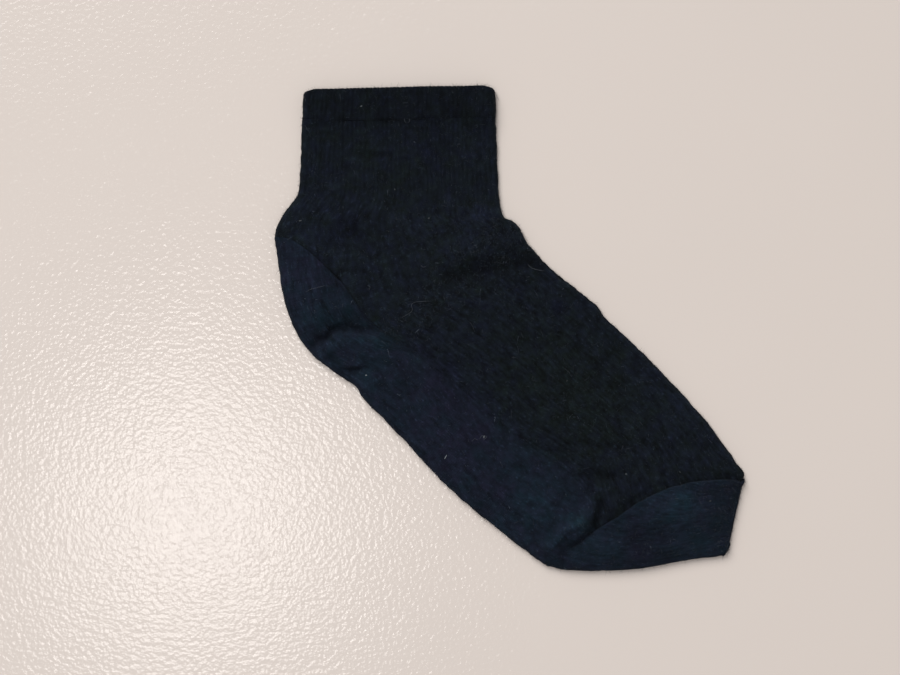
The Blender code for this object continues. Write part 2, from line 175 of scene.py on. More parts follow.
SHOWN_WRINKLES = (
    # The leg: faint level wrinkles, slack troughs down it, and the soft patch over the ankle.
    Crease(((-67.5, 75.4), (-60, 75.2), (-55, 74.2), (-49.5, 74)), 1, 0.5),
    Crease(((-47.6, 71.6), (-44, 72), (-40.5, 71.4)), 0.9, 0.45),
    Crease(((-67, 72.6), (-57, 71.8), (-49, 72.2)), 1.4, -0.35),
    Crease(((-86, 82.6), (-80, 82.4), (-74, 82.8)), 1, 0.35),
    Crease(((-76, 62.5), (-70, 62.2), (-65, 62.8)), 1, 0.35),
    Crease(((-84, 58.6), (-76, 59.4), (-70, 58.4)), 1.3, 0.4),
    Crease(((-72, 53.4), (-66, 53), (-60, 53.8)), 1.2, 0.35),
    Crease(((-40, 52.6), (-34, 53.2), (-29, 52.4)), 1.2, -0.4),
    Crease(((-30, 84), (-31, 70), (-28, 57)), 6, -0.35),
    Crease(((-63, 84), (-60, 70), (-64, 55)), 7, 0.3),
    Crease(((-78, 80), (-77, 66), (-80, 57)), 4, -0.3),
    Crease(((-13, 51), (-8.6, 47), (-4.5, 44)), 3.6, 0.5),
    Crease(((-20, 55), (-14, 53), (-7, 54)), 2.4, -0.3),
    Crease(((-89.5, 50), (-86, 46), (-81, 45)), 2.3, 0.45),
    Crease(((-72, 46), (-66, 40), (-57, 36)), 4, -0.9),
    # Dashes where the welt's foot dips, darkened with painted shade.
    Crease(((-54.4, 86.3), (-50.5, 86), (-46.6, 86.3)), 1.1, -1),
    Crease(((-72.6, 86.8), (-69.4, 86.3), (-66, 86.5)), 1, -0.8),
    Crease(((-40.4, 86.6), (-36.5, 86.8), (-33, 87.1)), 0.9, -0.8),
    Crease(((-29.8, 87.6), (-26.5, 87.5), (-23.6, 87.7)), 0.7, -0.6),
    Crease(((-20.4, 87.7), (-18.4, 87.5), (-16.4, 87.7)), 0.7, -0.4),
    # The ankle: the fold's narrow floor, its lit lip, and shorter ones that fan from the front.
    Crease(((11.5, 28.6), (-7, 25), (-21, 22.2)), 1.3, -0.5),
    Crease(((9, 23.5), (-6, 20.5), (-18, 18)), 2.4, 0.35),
    Crease(((5, 40.5), (-4, 40), (-16, 37.5)), 2.8, -0.7),
    Crease(((7.5, 33.5), (-3, 32), (-13, 33)), 2.6, -0.6),
    Crease(((16.5, 22.5), (8, 19.5), (-1, 19)), 1.7, -0.3),
    Crease(((21, 18.5), (12, 13), (3, 11)), 2.4, 0.25),
    Crease(((33, 10.5), (25, 6), (18, 4.5)), 2.2, -0.25),
    # The heel: the gore fold's floor, the fuzzy lip below it, a dip, and slack down the pocket.
    Crease(((-79, -5), (-76.5, -4.2), (-74.6, -1.4), (-71, -0.2)), 0.9, -0.9),
    Crease(((-71.5, 0.1), (-67.5, 0.1), (-63, -0.7), (-56, -0.9)), 1.9, -2),
    Crease(((-82.5, 1), (-76, 7), (-67, 8)), 2.4, 0.4),
    Crease(((-79, -7.4), (-74, -3.8), (-67, -2.6), (-60, -3.4)), 1.1, 0.5),
    Crease((
        (-72.2, -13), (-70.8, -14.6), (-68.4, -15.8), (-64.6, -15.8), (-62.6, -14.8), (-61.6, -12.8)
    ), 0.8, 0.6),
    Crease(((-70.4, -17), (-67, -17.5), (-63, -17.4), (-60.6, -16.4)), 0.8, -0.7),
    Crease(((-78, -13.6), (-75, -13), (-72.6, -14.4)), 1.2, -0.6),
    Crease(((-75.5, -12.2), (-73, -11), (-70.8, -10.6)), 1.6, -0.6),
    Crease(((-93, 29), (-90.5, 15), (-87, 3)), 4, 0.35),
    Crease(((-83, 24), (-80, 14), (-80.5, 5)), 4.2, -0.3),
    Crease(((-70, 15), (-66, 8.5), (-60, 4.5)), 2.6, 0.3),
    # The sole: the pale lip at the notch, and soft channels along the foot.
    Crease(((-64.5, -19), (-62, -22.3), (-58.5, -26.5)), 1.4, 0.5),
    Crease(((-56, -20), (-50, -23.5), (-45, -30)), 2.6, -0.35),
    Crease(((-50, -12), (-31, -30), (-12, -47)), 4.5, -0.3),
    Crease(((-44, -32), (-26, -49), (-8, -66)), 5, 0.3),
    Crease(((-16.5, -50), (-11, -48.6), (-5.5, -49.6)), 1.1, -0.35),
    Crease(((-6, -72), (4, -79), (12, -87)), 3.2, -0.35),
    # The instep: slack across it, and the short dark streaks over the toes.
    Crease(((52, -8), (35, -16), (22, -18)), 5, -0.3),
    Crease(((66, -24), (52, -30), (44, -38)), 5.5, 0.35),
    Crease(((27, -48.5), (37, -49), (48, -50), (58.5, -47)), 1.7, -0.9),
    Crease(((26.5, -62.4), (34, -62.2), (42, -61.8), (49, -60.6)), 2, -1.3),
    Crease(((76, -49.2), (83, -50.4), (89, -51)), 1.3, -0.5),
    Crease(((12, -50.6), (18.5, -51.6), (25, -51)), 1.2, -0.5),
    Crease(((80, -44), (73, -49), (64, -51)), 3.2, -0.35),
    Crease(((91, -54), (82, -57), (72, -58)), 2.6, 0.35),
    # The toe: the hollow over its seam, its lit lip, the valley's floor and lip, and the slack cap.
    Crease(((42, -79.2), (48, -74.6), (53.6, -70.6), (61, -66.8), (72, -63.2)), 1.5, -1.4),
    Crease(((66, -68.6), (74, -65.8), (84, -65), (95, -65.4)), 1.2, 0.6),
    Crease(((98.4, -62.2), (92, -61.8), (81, -61.6)), 1.3, -0.8),
    Crease(((98.6, -63.4), (96.6, -63), (94, -62.6)), 1.4, -0.8),
    Crease(((37, -80), (34.4, -85.6), (29.4, -89.4), (25.5, -91.4)), 0.9, -0.9),
    Crease(((39, -73.4), (38.6, -76), (37, -80)), 2.2, -0.7),
    Crease(((32.6, -77.6), (30.6, -80.4), (26.8, -83), (22.6, -85.4), (18.4, -91)), 1.3, 0.7),
    Crease(((20.4, -88.8), (22.6, -91.4), (22.8, -94.4), (22.4, -98)), 2, -0.9),
    Crease(((43, -84), (38, -90), (30, -96)), 2.6, 0.5),
    Crease(((65, -76.5), (72, -74.6), (79.5, -75.6)), 4.6, 0.6),
    Crease(((55, -86.5), (60, -88.2), (65.5, -86.6)), 4, -0.5),
    Crease(((84, -78.5), (88, -80), (90.5, -83)), 3.6, -0.45),
    Crease(((48, -93), (54, -95.5), (62, -95)), 3, 0.4),
    Crease(((70, -90), (76, -88), (80, -90.5)), 3.2, 0.4),
)
HIDDEN_WRINKLES = (
    Crease(((-86, -4), (-62, 8), (-40, 22)), 2.6, -0.8),  # the gore fold, on its other side
    Crease(((-80, -11), (-66, -6), (-56, -7)), 2, -0.5),
    Crease(((11, 30), (-9, 27), (-25, 32)), 2.8, -0.7),
    Crease(((5, 40), (-12, 40), (-30, 46)), 2, -0.4),
    Crease(((-70, 78), (-52, 76.5), (-38, 77.5)), 1.8, -0.35),
    Crease(((-30, 0), (-4, -27), (20, -50)), 4, -0.5),
    Crease(((-46, -26), (-24, -46), (-4, -68)), 3.4, -0.4),
    Crease(((20, 4), (38, -16), (58, -34)), 3.6, -0.4),
    Crease(((52, -74), (40, -84), (24, -93)), 2.6, -0.8),  # the toe's valley, on its other side
    Crease(((88, -70), (76, -76), (66, -86)), 3, -0.5),
    Crease(((-94, 22), (-88, 12), (-80, 10)), 2.4, -0.45),
)

# Wear and lint on the shown side, with some painted light on lit ridges and bulges and painted shade in a
# trough. Cast turns the knit towards violet, or below 0 towards green, and light makes it paler or darker.
Patch = namedtuple("Patch", "x y reach cast light")
WEAR_AND_PAINTED_LIGHT = (
    # The leg and the ankle.
    Patch(-62, 73, 8, -0.6, 0),
    Patch(-47, 60, 9, -0.6, 0),
    Patch(-35, 77, 8, 0.6, 0),
    Patch(-79, 53, 8, 0.5, 0.1),
    Patch(-13, 48, 5, 0.8, 0.3),  # the paler patch over the ankle's front
    # Painted shade in the trough behind the ankle, with a violet cast.
    Patch(-66, 42, 7, 0.8, -0.2),
    Patch(-27, 22, 12, -0.5, 0),
    # The heel, and the sole's start.
    Patch(-83, 24, 11, 0.7, 0.2),  # rubbed pale
    Patch(-76, 6, 8, -1, 0),
    # Painted light on the bulge below the gore fold, with a green cast.
    Patch(-55, -8, 8, -0.8, 0.2),
    Patch(-61, -21, 4, -0.5, 0.35),  # felted at the heel's foot
    # The foot: the sole, the instep, and the front edge, where the knit reddens.
    Patch(-30, -22, 14, 0.8, 0),
    Patch(-13, -38, 12, 0.7, 0),
    Patch(-26, -52, 13, 0.8, 0),
    Patch(-6, -67, 8, 0.6, -0.1),
    Patch(9, -73, 10, -0.7, 0.25),
    Patch(16, -20, 22, -0.9, 0),
    Patch(37, -34, 18, -0.9, 0),
    Patch(21, 8, 4, 1.1, 0),
    Patch(61, -20, 4, 1, 0),
    Patch(72, -34, 8, 0.2, 0.25),
    # The toe.
    Patch(28, -81, 5, -0.8, 0.3),  # painted highlight along its lit ridge, with a green cast
    Patch(37, -90, 7, -0.8, 0.3),
    Patch(56, -92, 8, 0.6, -0.15),
    # Painted highlight right of the toe seam, with a green cast.
    Patch(70, -74, 9, -0.9, 0.3),
    Patch(78, -90, 8, -0.7, 0.25),
)
WELT_LIGHT = -0.28  # the doubled band is knitted denser, and so looks darker

# Where hair gathers.
Tuft = namedtuple("Tuft", "x y reach")
TUFTS = (
    Tuft(-67, -15.6, 2.4),
    Tuft(30.4, -80.4, 2),
    Tuft(25.4, -83.6, 2.2),
    Tuft(20.4, -88, 2.4),
    Tuft(27, -82, 5),
    Tuft(-58.5, 17, 1.6),
    Tuft(-36, 25.6, 1.6),
    Tuft(-11, -45.6, 1.6),
    Tuft(-60, -19.6, 1.5),
    Tuft(-7, 45, 2.2),
    Tuft(0, 10, 12),
    Tuft(28, -22, 14),
    Tuft(-6, 36, 7),
    Tuft(-42, 87, 2),
    Tuft(48, -48, 9),
    Tuft(-88, 45, 2.5),
)

NOISE_TILE = 128  # after so many hills the noise repeats


def hills(across, along, seed):
    """Gradient noise: smooth hills about one unit wide, from about -1 to 1, the same each run."""
    angles = np.random.default_rng(seed).uniform(0, 2 * np.pi, (NOISE_TILE, NOISE_TILE))
    column, row = np.floor(across).astype(int), np.floor(along).astype(int)
    total = 0.0
    for i in (0, 1):
        for j in (0, 1):
            angle = angles[(column + i) % NOISE_TILE, (row + j) % NOISE_TILE]
            x, y = across - column - i, along - row - j
            total = total + (np.cos(angle) * x + np.sin(angle) * y) * ease(1 - abs(x)) * ease(1 - abs(y))
    return 1.5 * total


def hills_over(places, size, seed):
    """Hills over the flat sock, about size millimetres wide."""
    return hills(places[..., 0] / size, places[..., 1] / size, seed)


def ease(share):
    """0 below 0, 1 above 1, and smooth between them."""
    share = np.clip(share, 0, 1)
    return share**3 * (share * (6 * share - 15) + 10)


# ---- the shape of the sock

def between_rows(values, spot):
    """A smooth curve through rows of values, read at spot, counted in rows (Catmull-Rom)."""
    values = np.asarray(values, float)
    ends = 2 * values[0] - values[1], 2 * values[-1] - values[-2]
    held = np.concatenate([[ends[0]], values, [ends[1]]])
    row = np.clip(np.floor(spot).astype(int), 0, len(values) - 2)
    t = spot - row
    if values.ndim > 1:
        t = t[:, None]
    a, b, c, d = (held[row + k] for k in range(4))
    return b + 0.5 * t * (c - a + t * (2 * a - 5 * b + 4 * c - d + t * (3 * (b - c) + d - a)))


def column(name, section):
    return between_rows([getattr(row, name) for row in SECTIONS], section)


def fold_places(section):
    """The front fold's and the back fold's edges at section, as arrays that end in (x, y)."""
    front = np.stack([column("front_x", section), column("front_y", section)], axis=-1)
    back = np.stack([column("back_x", section), column("back_y", section)], axis=-1)
    return front, back


FINE_SECTIONS = np.linspace(0, TIP, 3101)
MIDDLES = sum(fold_places(FINE_SECTIONS)) / 2
LENGTHS = np.concatenate([[0], np.cumsum(np.linalg.norm(np.diff(MIDDLES, axis=0), axis=1))])


def length_at(section):
    """How far section lies from the opening, down the middle of the sock."""
    return np.interp(section, FINE_SECTIONS, LENGTHS)


def section_at(length):
    return np.interp(length, LENGTHS, FINE_SECTIONS)


def creased(places, creases, tapered):
    """How far the creases move the cloth outwards at each (x, y). Tapered ones fade towards their ends."""
    lift = np.zeros(places.shape[:-1])
    for crease in creases:
        corners = np.array(crease.places)
        nearest = np.full(lift.shape, np.inf)
        along = np.zeros(lift.shape)
        for k, (a, b) in enumerate(zip(corners[:-1], corners[1:])):
            share = np.clip((places - a) @ (b - a) / ((b - a) @ (b - a)), 0, 1)
            apart = np.linalg.norm(places - a - share[..., None] * (b - a), axis=-1)
            along = np.where(apart < nearest, (share + k) / (len(corners) - 1), along)
            nearest = np.minimum(nearest, apart)
        strength = np.sin(np.pi * (0.12 + 0.76 * along)) if tapered else 1.0
        lift += crease.lift * strength * np.exp(-((nearest / crease.reach) ** 2))
    return lift


def shown_lift(places):
    """How far the shown side's creases move it outwards."""
    return creased(places, LARGE_CREASES, False) + creased(places, SHOWN_WRINKLES, True)


def slack(section, places):
    """The shown side's soft hills and hollows, larger where the cloth lies loosest."""
    looseness = np.interp(section, (0, 4, 8, 14, 20, 24, 27, TIP), (0.6, 0.8, 1, 1, 0.8, 1.1, 1.5, 1))
    return looseness * (0.26 * hills_over(places, 27, 3) + 0.17 * hills_over(places, 11, 4))


def stack(section, share, inset, places):
    """Heights of the sock's top and of its underside, inset from the nearer fold's edge.

    share runs from 0 at the front fold to 1 at the back fold.
    """
    fold, crown = column("fold_height", section), column("crown_height", section)
    inside = ease((inset - FOLD_REACH) / SWELL_REACH)
    swell = np.sin(np.pi * np.clip(share, 0, 1)) ** 0.6 * inside
    slack_mouth = ease(1 - section / 4) * (0.3 + 0.8 * hills(places[..., 0] / 19, 0.4, 8)) * inside
    lift = shown_lift(places) + slack_mouth
    drop = fold - np.maximum(fold - EDGE_DROP, EDGE_HEIGHT)
    slope = drop * (1 - np.clip(inset / EDGE_TAPER, 0, 1)) ** 2
    top = fold - slope + (crown - fold) * swell + lift + slack(section, places) * inside
    least = 2 * RIB_WALL + LEAST_SPACE
    top = (top + least + np.sqrt((top - least) ** 2 + 0.15**2)) / 2
    uneven = 0.12 * (1 + hills_over(places, 13, 5))
    hollow = (uneven - creased(places, HIDDEN_WRINKLES, True)) * inside
    return top, np.clip(hollow, 0, top - 2 * RIB_WALL - 0.2)


def stray(section, front):
    """How far the edge of the front or back fold strays across the sock."""
    along, line = length_at(section), np.where(front, 3.37, 14.62)
    return 0.26 * hills(along / 4.3, line, 6) + 0.16 * hills(along / 1.5, line, 7)


def cloth_places(section, turn, depth, proud=0.0):
    """Points of the cloth, depth inside its outer face, on a stack that is proud millimetres thicker."""
    turn = turn % 1
    front, back = fold_places(section)
    width = np.linalg.norm(back - front, axis=-1)
    shown = turn <= 0.5
    half_turn = 2 * np.where(shown, turn, 1 - turn)
    edge = 2 * FOLD_TURN
    from_tip = np.minimum(half_turn, 1 - half_turn)
    flat_inset = FOLD_REACH + (width - 2 * FOLD_REACH) * np.clip((half_turn - edge) / (1 - 2 * edge), 0, 1)
    flat = front + (back - front) * (flat_inset / width)[..., None]
    edge_distance = np.minimum(flat_inset, width - flat_inset) - FOLD_REACH
    share = (flat_inset - FOLD_REACH) / (width - 2 * FOLD_REACH)
    angle = np.pi / 2 * np.clip(from_tip / edge, 0, 1)
    top, bottom = stack(section, share, edge_distance + FOLD_REACH * (1 - np.cos(angle)), flat)
    fold_inset = depth + (FOLD_REACH - depth) * (1 - np.cos(angle))
    round_inset = np.where(half_turn < 0.5, fold_inset, width - fold_inset)
    inset = np.where(from_tip < edge, round_inset, flat_inset)
    inset = inset + stray(section, half_turn < 0.5) * np.exp(-edge_distance / 3)
    places = front + (back - front) * (inset / width)[..., None]
    middle, half = (top + proud + bottom) / 2, (top + proud - bottom) / 2
    rise = (half - depth) * np.sin(angle)
    return np.concatenate([places, (middle + np.where(shown, rise, -rise))[..., None]], axis=-1)


HALVINGS = 40  # in the search for a place's section


def on_the_cloth(place, shown):
    """The (section, turn) of a place (x, y). A gusset's turn is that of the nearest half rib."""
    low, high = 0.0, TIP
    for _ in range(HALVINGS):
        middle = (low + high) / 2
        front, back = fold_places(middle)
        line, reach = back - front, np.subtract(place, front)
        beyond = line[0] * reach[1] > line[1] * reach[0]
        low, high = (middle, high) if beyond else (low, middle)
    front, back = fold_places(low)
    width = np.linalg.norm(back - front)
    inset = np.subtract(place, front) @ (back - front) / width
    flat_share = (inset - FOLD_REACH) / (width - 2 * FOLD_REACH)
    half_turn = np.clip(2 * FOLD_TURN + (1 - 4 * FOLD_TURN) * flat_share, 0, 1)
    turn = half_turn / 2 if shown else 1 - half_turn / 2
    if place in (SHOWN_GUSSET, HIDDEN_GUSSET):
        turn = round(turn * 2 * RIBS) / (2 * RIBS)
    return low, turn


GUSSETS = on_the_cloth(SHOWN_GUSSET, True), on_the_cloth(HIDDEN_GUSSET, False)
GUSSET_RIBS = [turn * RIBS for _, turn in GUSSETS]


def smooth_through(x, knots, values):
    """A smooth curve through values at knots, read at x, that never overshoots them."""
    widths = np.diff(knots)
    grades = np.diff(values) / widths
    before, after = grades[:-1], grades[1:]
    turning = before * after <= 0
    first, second = 2 * widths[1:] + widths[:-1], widths[1:] + 2 * widths[:-1]
    shares = first / np.where(turning, 1, before) + second / np.where(turning, 1, after)
    means = (first + second) / shares
    slopes = np.concatenate([grades[:1], np.where(turning, 0, means), grades[-1:]])
    k = np.clip(np.searchsorted(knots, x, side="right") - 1, 0, len(knots) - 2)
    step = knots[k + 1] - knots[k]
    t = np.clip((x - knots[k]) / step, 0, 1)
    rise = values[k + 1] - values[k]
    bend = (slopes[k] * step - rise) * (1 - t) - (slopes[k + 1] * step - rise) * t
    return values[k] + t * rise + t * (1 - t) * bend


def seam(places, shown):
    """The lengths down the sock and the turns of the places (x, y) that a seam passes."""
    found = np.array([on_the_cloth(place, shown) for place in places])
    return length_at(found[:, 0]), found[:, 1]


def round_seam(shown_places, hidden_places):
    """A seam all round the tube, as the function that gives its length down the sock at a turn."""
    shown_lengths, shown_turns = seam(shown_places, True)
    hidden_lengths, hidden_turns = seam(hidden_places, False)
    lengths = np.concatenate([shown_lengths, hidden_lengths[-2::-1]])
    turns = np.concatenate([shown_turns, hidden_turns[-2::-1]])
    lengths = np.concatenate([lengths[-1:], lengths, lengths[:1]])
    turns = np.concatenate([turns[-1:] - 1, turns, turns[:1] + 1])
    return lambda turn: smooth_through(turn % 1, turns, lengths)


def side_seam(places, shown):
    """A seam along the foot, as the function that gives its turn at a length down the sock."""
    lengths, turns = seam(places, shown)
    return lambda length: smooth_through(length, lengths, turns)


def welt_foot(turn):
    """The welt's foot: it dips over the back half of the shown side."""
    turn = turn % 1
    return length_at(WELT_FOOT) + WELT_DIP * ease((turn - 0.13) / 0.13) * ease((0.5 - turn) / 0.06)


def level_seam(section):
    """A seam that keeps to one section all round."""
    return lambda turn: np.full_like(turn, length_at(section))


# ---- grids over the cloth

# lengths and turns give each point's place on the cloth, ribs gives each column's count of ribs, and closed
# tells that the columns run all round.
Grid = namedtuple("Grid", "lengths turns ribs closed")


def tube_grid(start, end, turns, ribs, rows):
    """The stretch of the tube between two round seams."""
    share = np.linspace(0, 1, rows + 1)[:, None]
    lengths = start(turns) * (1 - share) + end(turns) * share
    return Grid(lengths, np.tile(turns, (rows + 1, 1)), ribs, True)


def patch_grid(start, end, fold, ribs, side_turns, side_rows):
    """A patch between two round seams, over the fold at the turn fold.

    side_turns are the functions of its first and last columns' seams, and side_rows the rows' lengths on
    each of them.
    """
    fold_ribs = FOLD_TURN * RIBS
    over = (ribs[0], fold * RIBS - fold_ribs, fold * RIBS + fold_ribs, ribs[-1])
    first_turns, last_turns = (side(rows) for side, rows in zip(side_turns, side_rows))
    turns = np.array([
        np.interp(ribs, over, (first, fold - FOLD_TURN, fold + FOLD_TURN, last))
        for first, last in zip(first_turns, last_turns)
    ])
    first_share, last_share = ((rows - rows[0]) / (rows[-1] - rows[0]) for rows in side_rows)
    across = (ribs - ribs[0]) / (ribs[-1] - ribs[0])
    share = first_share[:, None] * (1 - across) + last_share[:, None] * across
    return Grid(start(turns[0]) * (1 - share) + end(turns[-1]) * share, turns, ribs, False)


def running(places, axis):
    """The distance covered from the first row or column to each one."""
    steps = np.linalg.norm(np.diff(places, axis=axis), axis=-1)
    start = np.zeros_like(np.take(steps, [0], axis=axis))
    return np.concatenate([start, np.cumsum(steps, axis=axis)], axis=axis)


def strides(places, axis, closed):
    """How far a grid's points move from one row or column to the next."""
    if closed:
        return (np.roll(places, -1, axis) - np.roll(places, 1, axis)) / 2
    return np.gradient(places, axis=axis)


def unit(vectors):
    return vectors / np.maximum(np.linalg.norm(vectors, axis=-1, keepdims=True), 1e-9)


def normals(places, around_closed, along_closed=False):
    """Directions out of the cloth at a grid of its points."""
    return unit(np.cross(strides(places, 1, around_closed), strides(places, 0, along_closed)))


# ---- relief of the knit

def rib_relief(ribs, along, depth):
    """Round wales with narrow valleys, uneven in place and depth. The tops stay near 0."""
    wander = 0.16 * hills(ribs / 2.3, along / 7, 11) + 0.07 * hills(ribs / 0.9, along / 2.5, 14)
    wale = (0.5 + 0.5 * np.cos(2 * np.pi * (ribs + wander))) ** 0.7
    patchy = 0.62 + 0.55 * hills(ribs / 5, along / 11, 15)
    uneven = patchy + 0.45 * hills(ribs * 0.93, along / 4.5, 12) + 0.3 * hills(ribs * 1.7, along / 1.7, 13)
    return -depth * (1 - wale) * np.clip(uneven, 0.04, 1.3) + 0.05 * hills(ribs * 1.6, along / 0.9, 16)


def plain_relief(across, along):
    """A fine pebble, and pills."""
    pebble = 0.055 * hills(across / 1.9, along / 1.9, 21) + 0.04 * hills(across / 0.9, along / 1.3, 22)
    pills = np.clip(hills(across / 1.3 + 40, along / 1.3, 23) - 0.55, 0, 1)
    return pebble + 0.35 * pills


def roll(distance, middle, reach, lift):
    """A ridge or groove at a distance from a seam."""
    return lift * np.exp(-(((distance - middle) / reach) ** 2))


def puckers(around, distance, size, lift):
    """Small gathers that fade away from a seam."""
    return lift * hills(around / size, distance / (2.2 * size), 31) * np.exp(-distance / (1.4 * size))


def hem(distance, middle, reach, lift, groove):
    """A seam's ridge, and the groove on its line."""
    return roll(distance, middle, reach, lift) + roll(distance, 0.0, 0.45, groove)


def before_back(turns):
    """Fades a seam just before it crosses the back fold."""
    return 1 - 0.85 * roll(turns, 0.47, 0.045, 1.0)


def near_back(turns):
    """1 where a seam crosses the back fold, and 0 well away from it."""
    return ease((turns - 0.39) / 0.05) * ease((0.58 - turns) / 0.05)


# Each piece's relief is given its distances around from the column nearest the back fold, along from its
# first row, and left to go to its last row.

def leg_relief(grid, around, along, left):
    faint = 1 - 0.5 * ease((along - 26) / 12)
    relief = rib_relief(grid.ribs, grid.lengths, RIB_DEPTH) * faint
    shown_rib, hidden_rib = GUSSET_RIBS
    at_heel = ease((grid.ribs - shown_rib + 0.5) / 2) * ease((hidden_rib - grid.ribs + 0.5) / 2)
    patchy = np.clip(0.2 + 1.3 * hills(around / 4, along / 4, 33), 0, 1.2)
    under_welt = roll(along, 0.0, 0.6, -0.25) * patchy
    uneven = np.clip(0.8 + 1.1 * hills(around / 6, 0.3, 34), 0.3, 1.3)
    at_heel = at_heel * (1 - 0.75 * near_back(grid.turns[0])) * uneven
    relief = relief + roll(left, 0.0, 1.4, -0.75) * at_heel
    return relief + puckers(around, left, 5.0, 0.3) * at_heel + under_welt


def instep_relief(grid, around, along, left):
    faint = 0.4 + 0.3 * ease((grid.lengths - 95) / 20)
    relief = rib_relief(grid.ribs, grid.lengths, FOOT_RIB_DEPTH) * faint
    lumps = puckers(around, left, 2.6, 0.5) * ease((grid.ribs - grid.ribs[0]) / 4)
    return relief + roll(left, 0.0, 1.3, -0.55) + puckers(around, left, 4.2, 0.3) + lumps


def heel_relief(grid, around, along, left):
    ridge = hem(along, 1.1, 0.8, 0.44, -0.2) * (1 - 0.7 * near_back(grid.turns[0]))
    return plain_relief(around, along) + ridge + puckers(around, along, 6.0, 0.3)


def sole_relief(grid, around, along, left):
    groove = roll(left, 0.0, 1.2, -0.3) * before_back(grid.turns[-1])
    return plain_relief(around, along) + groove + puckers(around, left, 4.2, 0.25)


def toe_relief(grid, around, along, left):
    ridge = hem(along, 1.0, 0.75, 0.38, -0.25) * before_back(grid.turns[0])
    return plain_relief(around, along) + ridge + puckers(around, along, 5.0, 0.4)


def tones(places, turns, blotches):
    """Each point's shade, with painted light on ridges and painted shade in troughs, and its cast, green
    below 0.
    """
    flat = places[..., :2]
    x, y = flat[..., 0], flat[..., 1]
    shown = turns % 1 <= 0.5
    lift = np.where(shown, shown_lift(flat), creased(flat, HIDDEN_WRINKLES, True))
    light, cast = 0.0, 0.0
    for patch in WEAR_AND_PAINTED_LIGHT:
        weight = np.exp(-((x - patch.x) ** 2 + (y - patch.y) ** 2) / patch.reach**2) * shown
        light, cast = light + patch.light * weight, cast + patch.cast * weight
    spots = hills_over(flat, 3, 53) + 0.6 * hills_over(flat, 1.7, 56)
    light = light + 0.16 * hills_over(flat, 8, 52) + blotches * spots
    cast = 0.9 * cast + 0.75 * hills_over(flat, 7, 54) + 0.5 * hills_over(flat, 3, 55)
    # The creases' lift paints troughs darker and ridges lighter: painted shade and painted light.
    return np.clip(1 + 0.22 * np.clip(lift, -2.4, 1.4) + light, 0.28, 2), np.clip(cast, -1.3, 1.3)


# ---- meshes

# Where each part of a piece lies on its bake map, as its left, bottom, right and top.
WHOLE_MAP = (0.0, 0.0, 1.0, 1.0)
OUTER_MAP = (0.0, 0.12, 1.0, 1.0)
INNER_MAP = (0.0, 0.05, 1.0, 0.11)
RIM_MAPS = ((0.0, 0.03, 1.0, 0.04), (0.0, 0.015, 1.0, 0.025))
SIDE_MAPS = ((0.0, 0.0, 0.49, 0.01), (0.51, 0.0, 1.0, 0.01))
CAP_MAPS = ((0.0, 0.015, 0.02, 0.025), (0.04, 0.015, 0.06, 0.025))


class Knitting:
    """A mesh in the making: points, faces, and where each corner lies on the knit and on the bake map."""

    def __init__(self):
        self.points, self.faces, self.stitches, self.bakes, self.count = [], [], [], [], 0

    def add_points(self, points):
        first = self.count
        self.points.append(points.reshape(-1, 3))
        self.count += len(self.points[-1])
        return first

    def add_faces(self, corners, stitches, bakes, area):
        """Each row of corners is a face's points, with two numbers each in stitches and bakes.

        area is the faces' part of the bake map.
        """
        left, bottom, right, top = area
        self.faces += corners.tolist()
        self.stitches.append(stitches.reshape(-1, 2))
        self.bakes.append((bakes * (right - left, top - bottom) + (left, bottom)).reshape(-1, 2))

    def mesh(self, name):
        data = bpy.data.meshes.new(name)
        data.from_pydata(np.concatenate(self.points) * MM, [], self.faces)
        for layer_name, values in (("OFBake", self.bakes), ("stitch", self.stitches)):
            layer = data.uv_layers.new(name=layer_name)
            layer.uv.foreach_set("vector", np.concatenate(values).astype(np.float32).ravel())
        return data


def circle(angles):
    return np.stack([np.cos(angles), np.sin(angles)], axis=-1)


def keep_above(points, height):
    points[..., 2] = np.maximum(points[..., 2], height)


def quads(rows, columns, around_closed, along_closed=False):
    """The rows and columns of a grid's corners, four for each face."""
    row, place = np.meshgrid(
        np.arange(rows if along_closed else rows - 1),
        np.arange(columns if around_closed else columns - 1),
        indexing="ij",
    )
    corner_rows = np.stack([row, row, row + 1, row + 1], axis=-1).reshape(-1, 4)
    corner_columns = np.stack([place, place + 1, place + 1, place], axis=-1).reshape(-1, 4)
    return corner_rows, corner_columns


def stitch_map(grid, around, along, ribbed):
    """The function that gives the wales and courses at rows and columns of the outer face."""
    steps = np.arange(len(grid.ribs) + 1)
    ribs = np.interp(steps, steps[:-1], grid.ribs) + (steps == steps[-1]) * np.diff(grid.ribs)[-1]
    wrapped = np.concatenate([around, 2 * around[:, -1:] - around[:, -2:-1]], axis=1)

    def at(rows, columns):
        wales = 2 * ribs[columns] if ribbed else wrapped[rows, columns] / WALE
        return np.stack([wales, along[rows, columns % along.shape[1]] / COURSE], axis=-1)

    return at


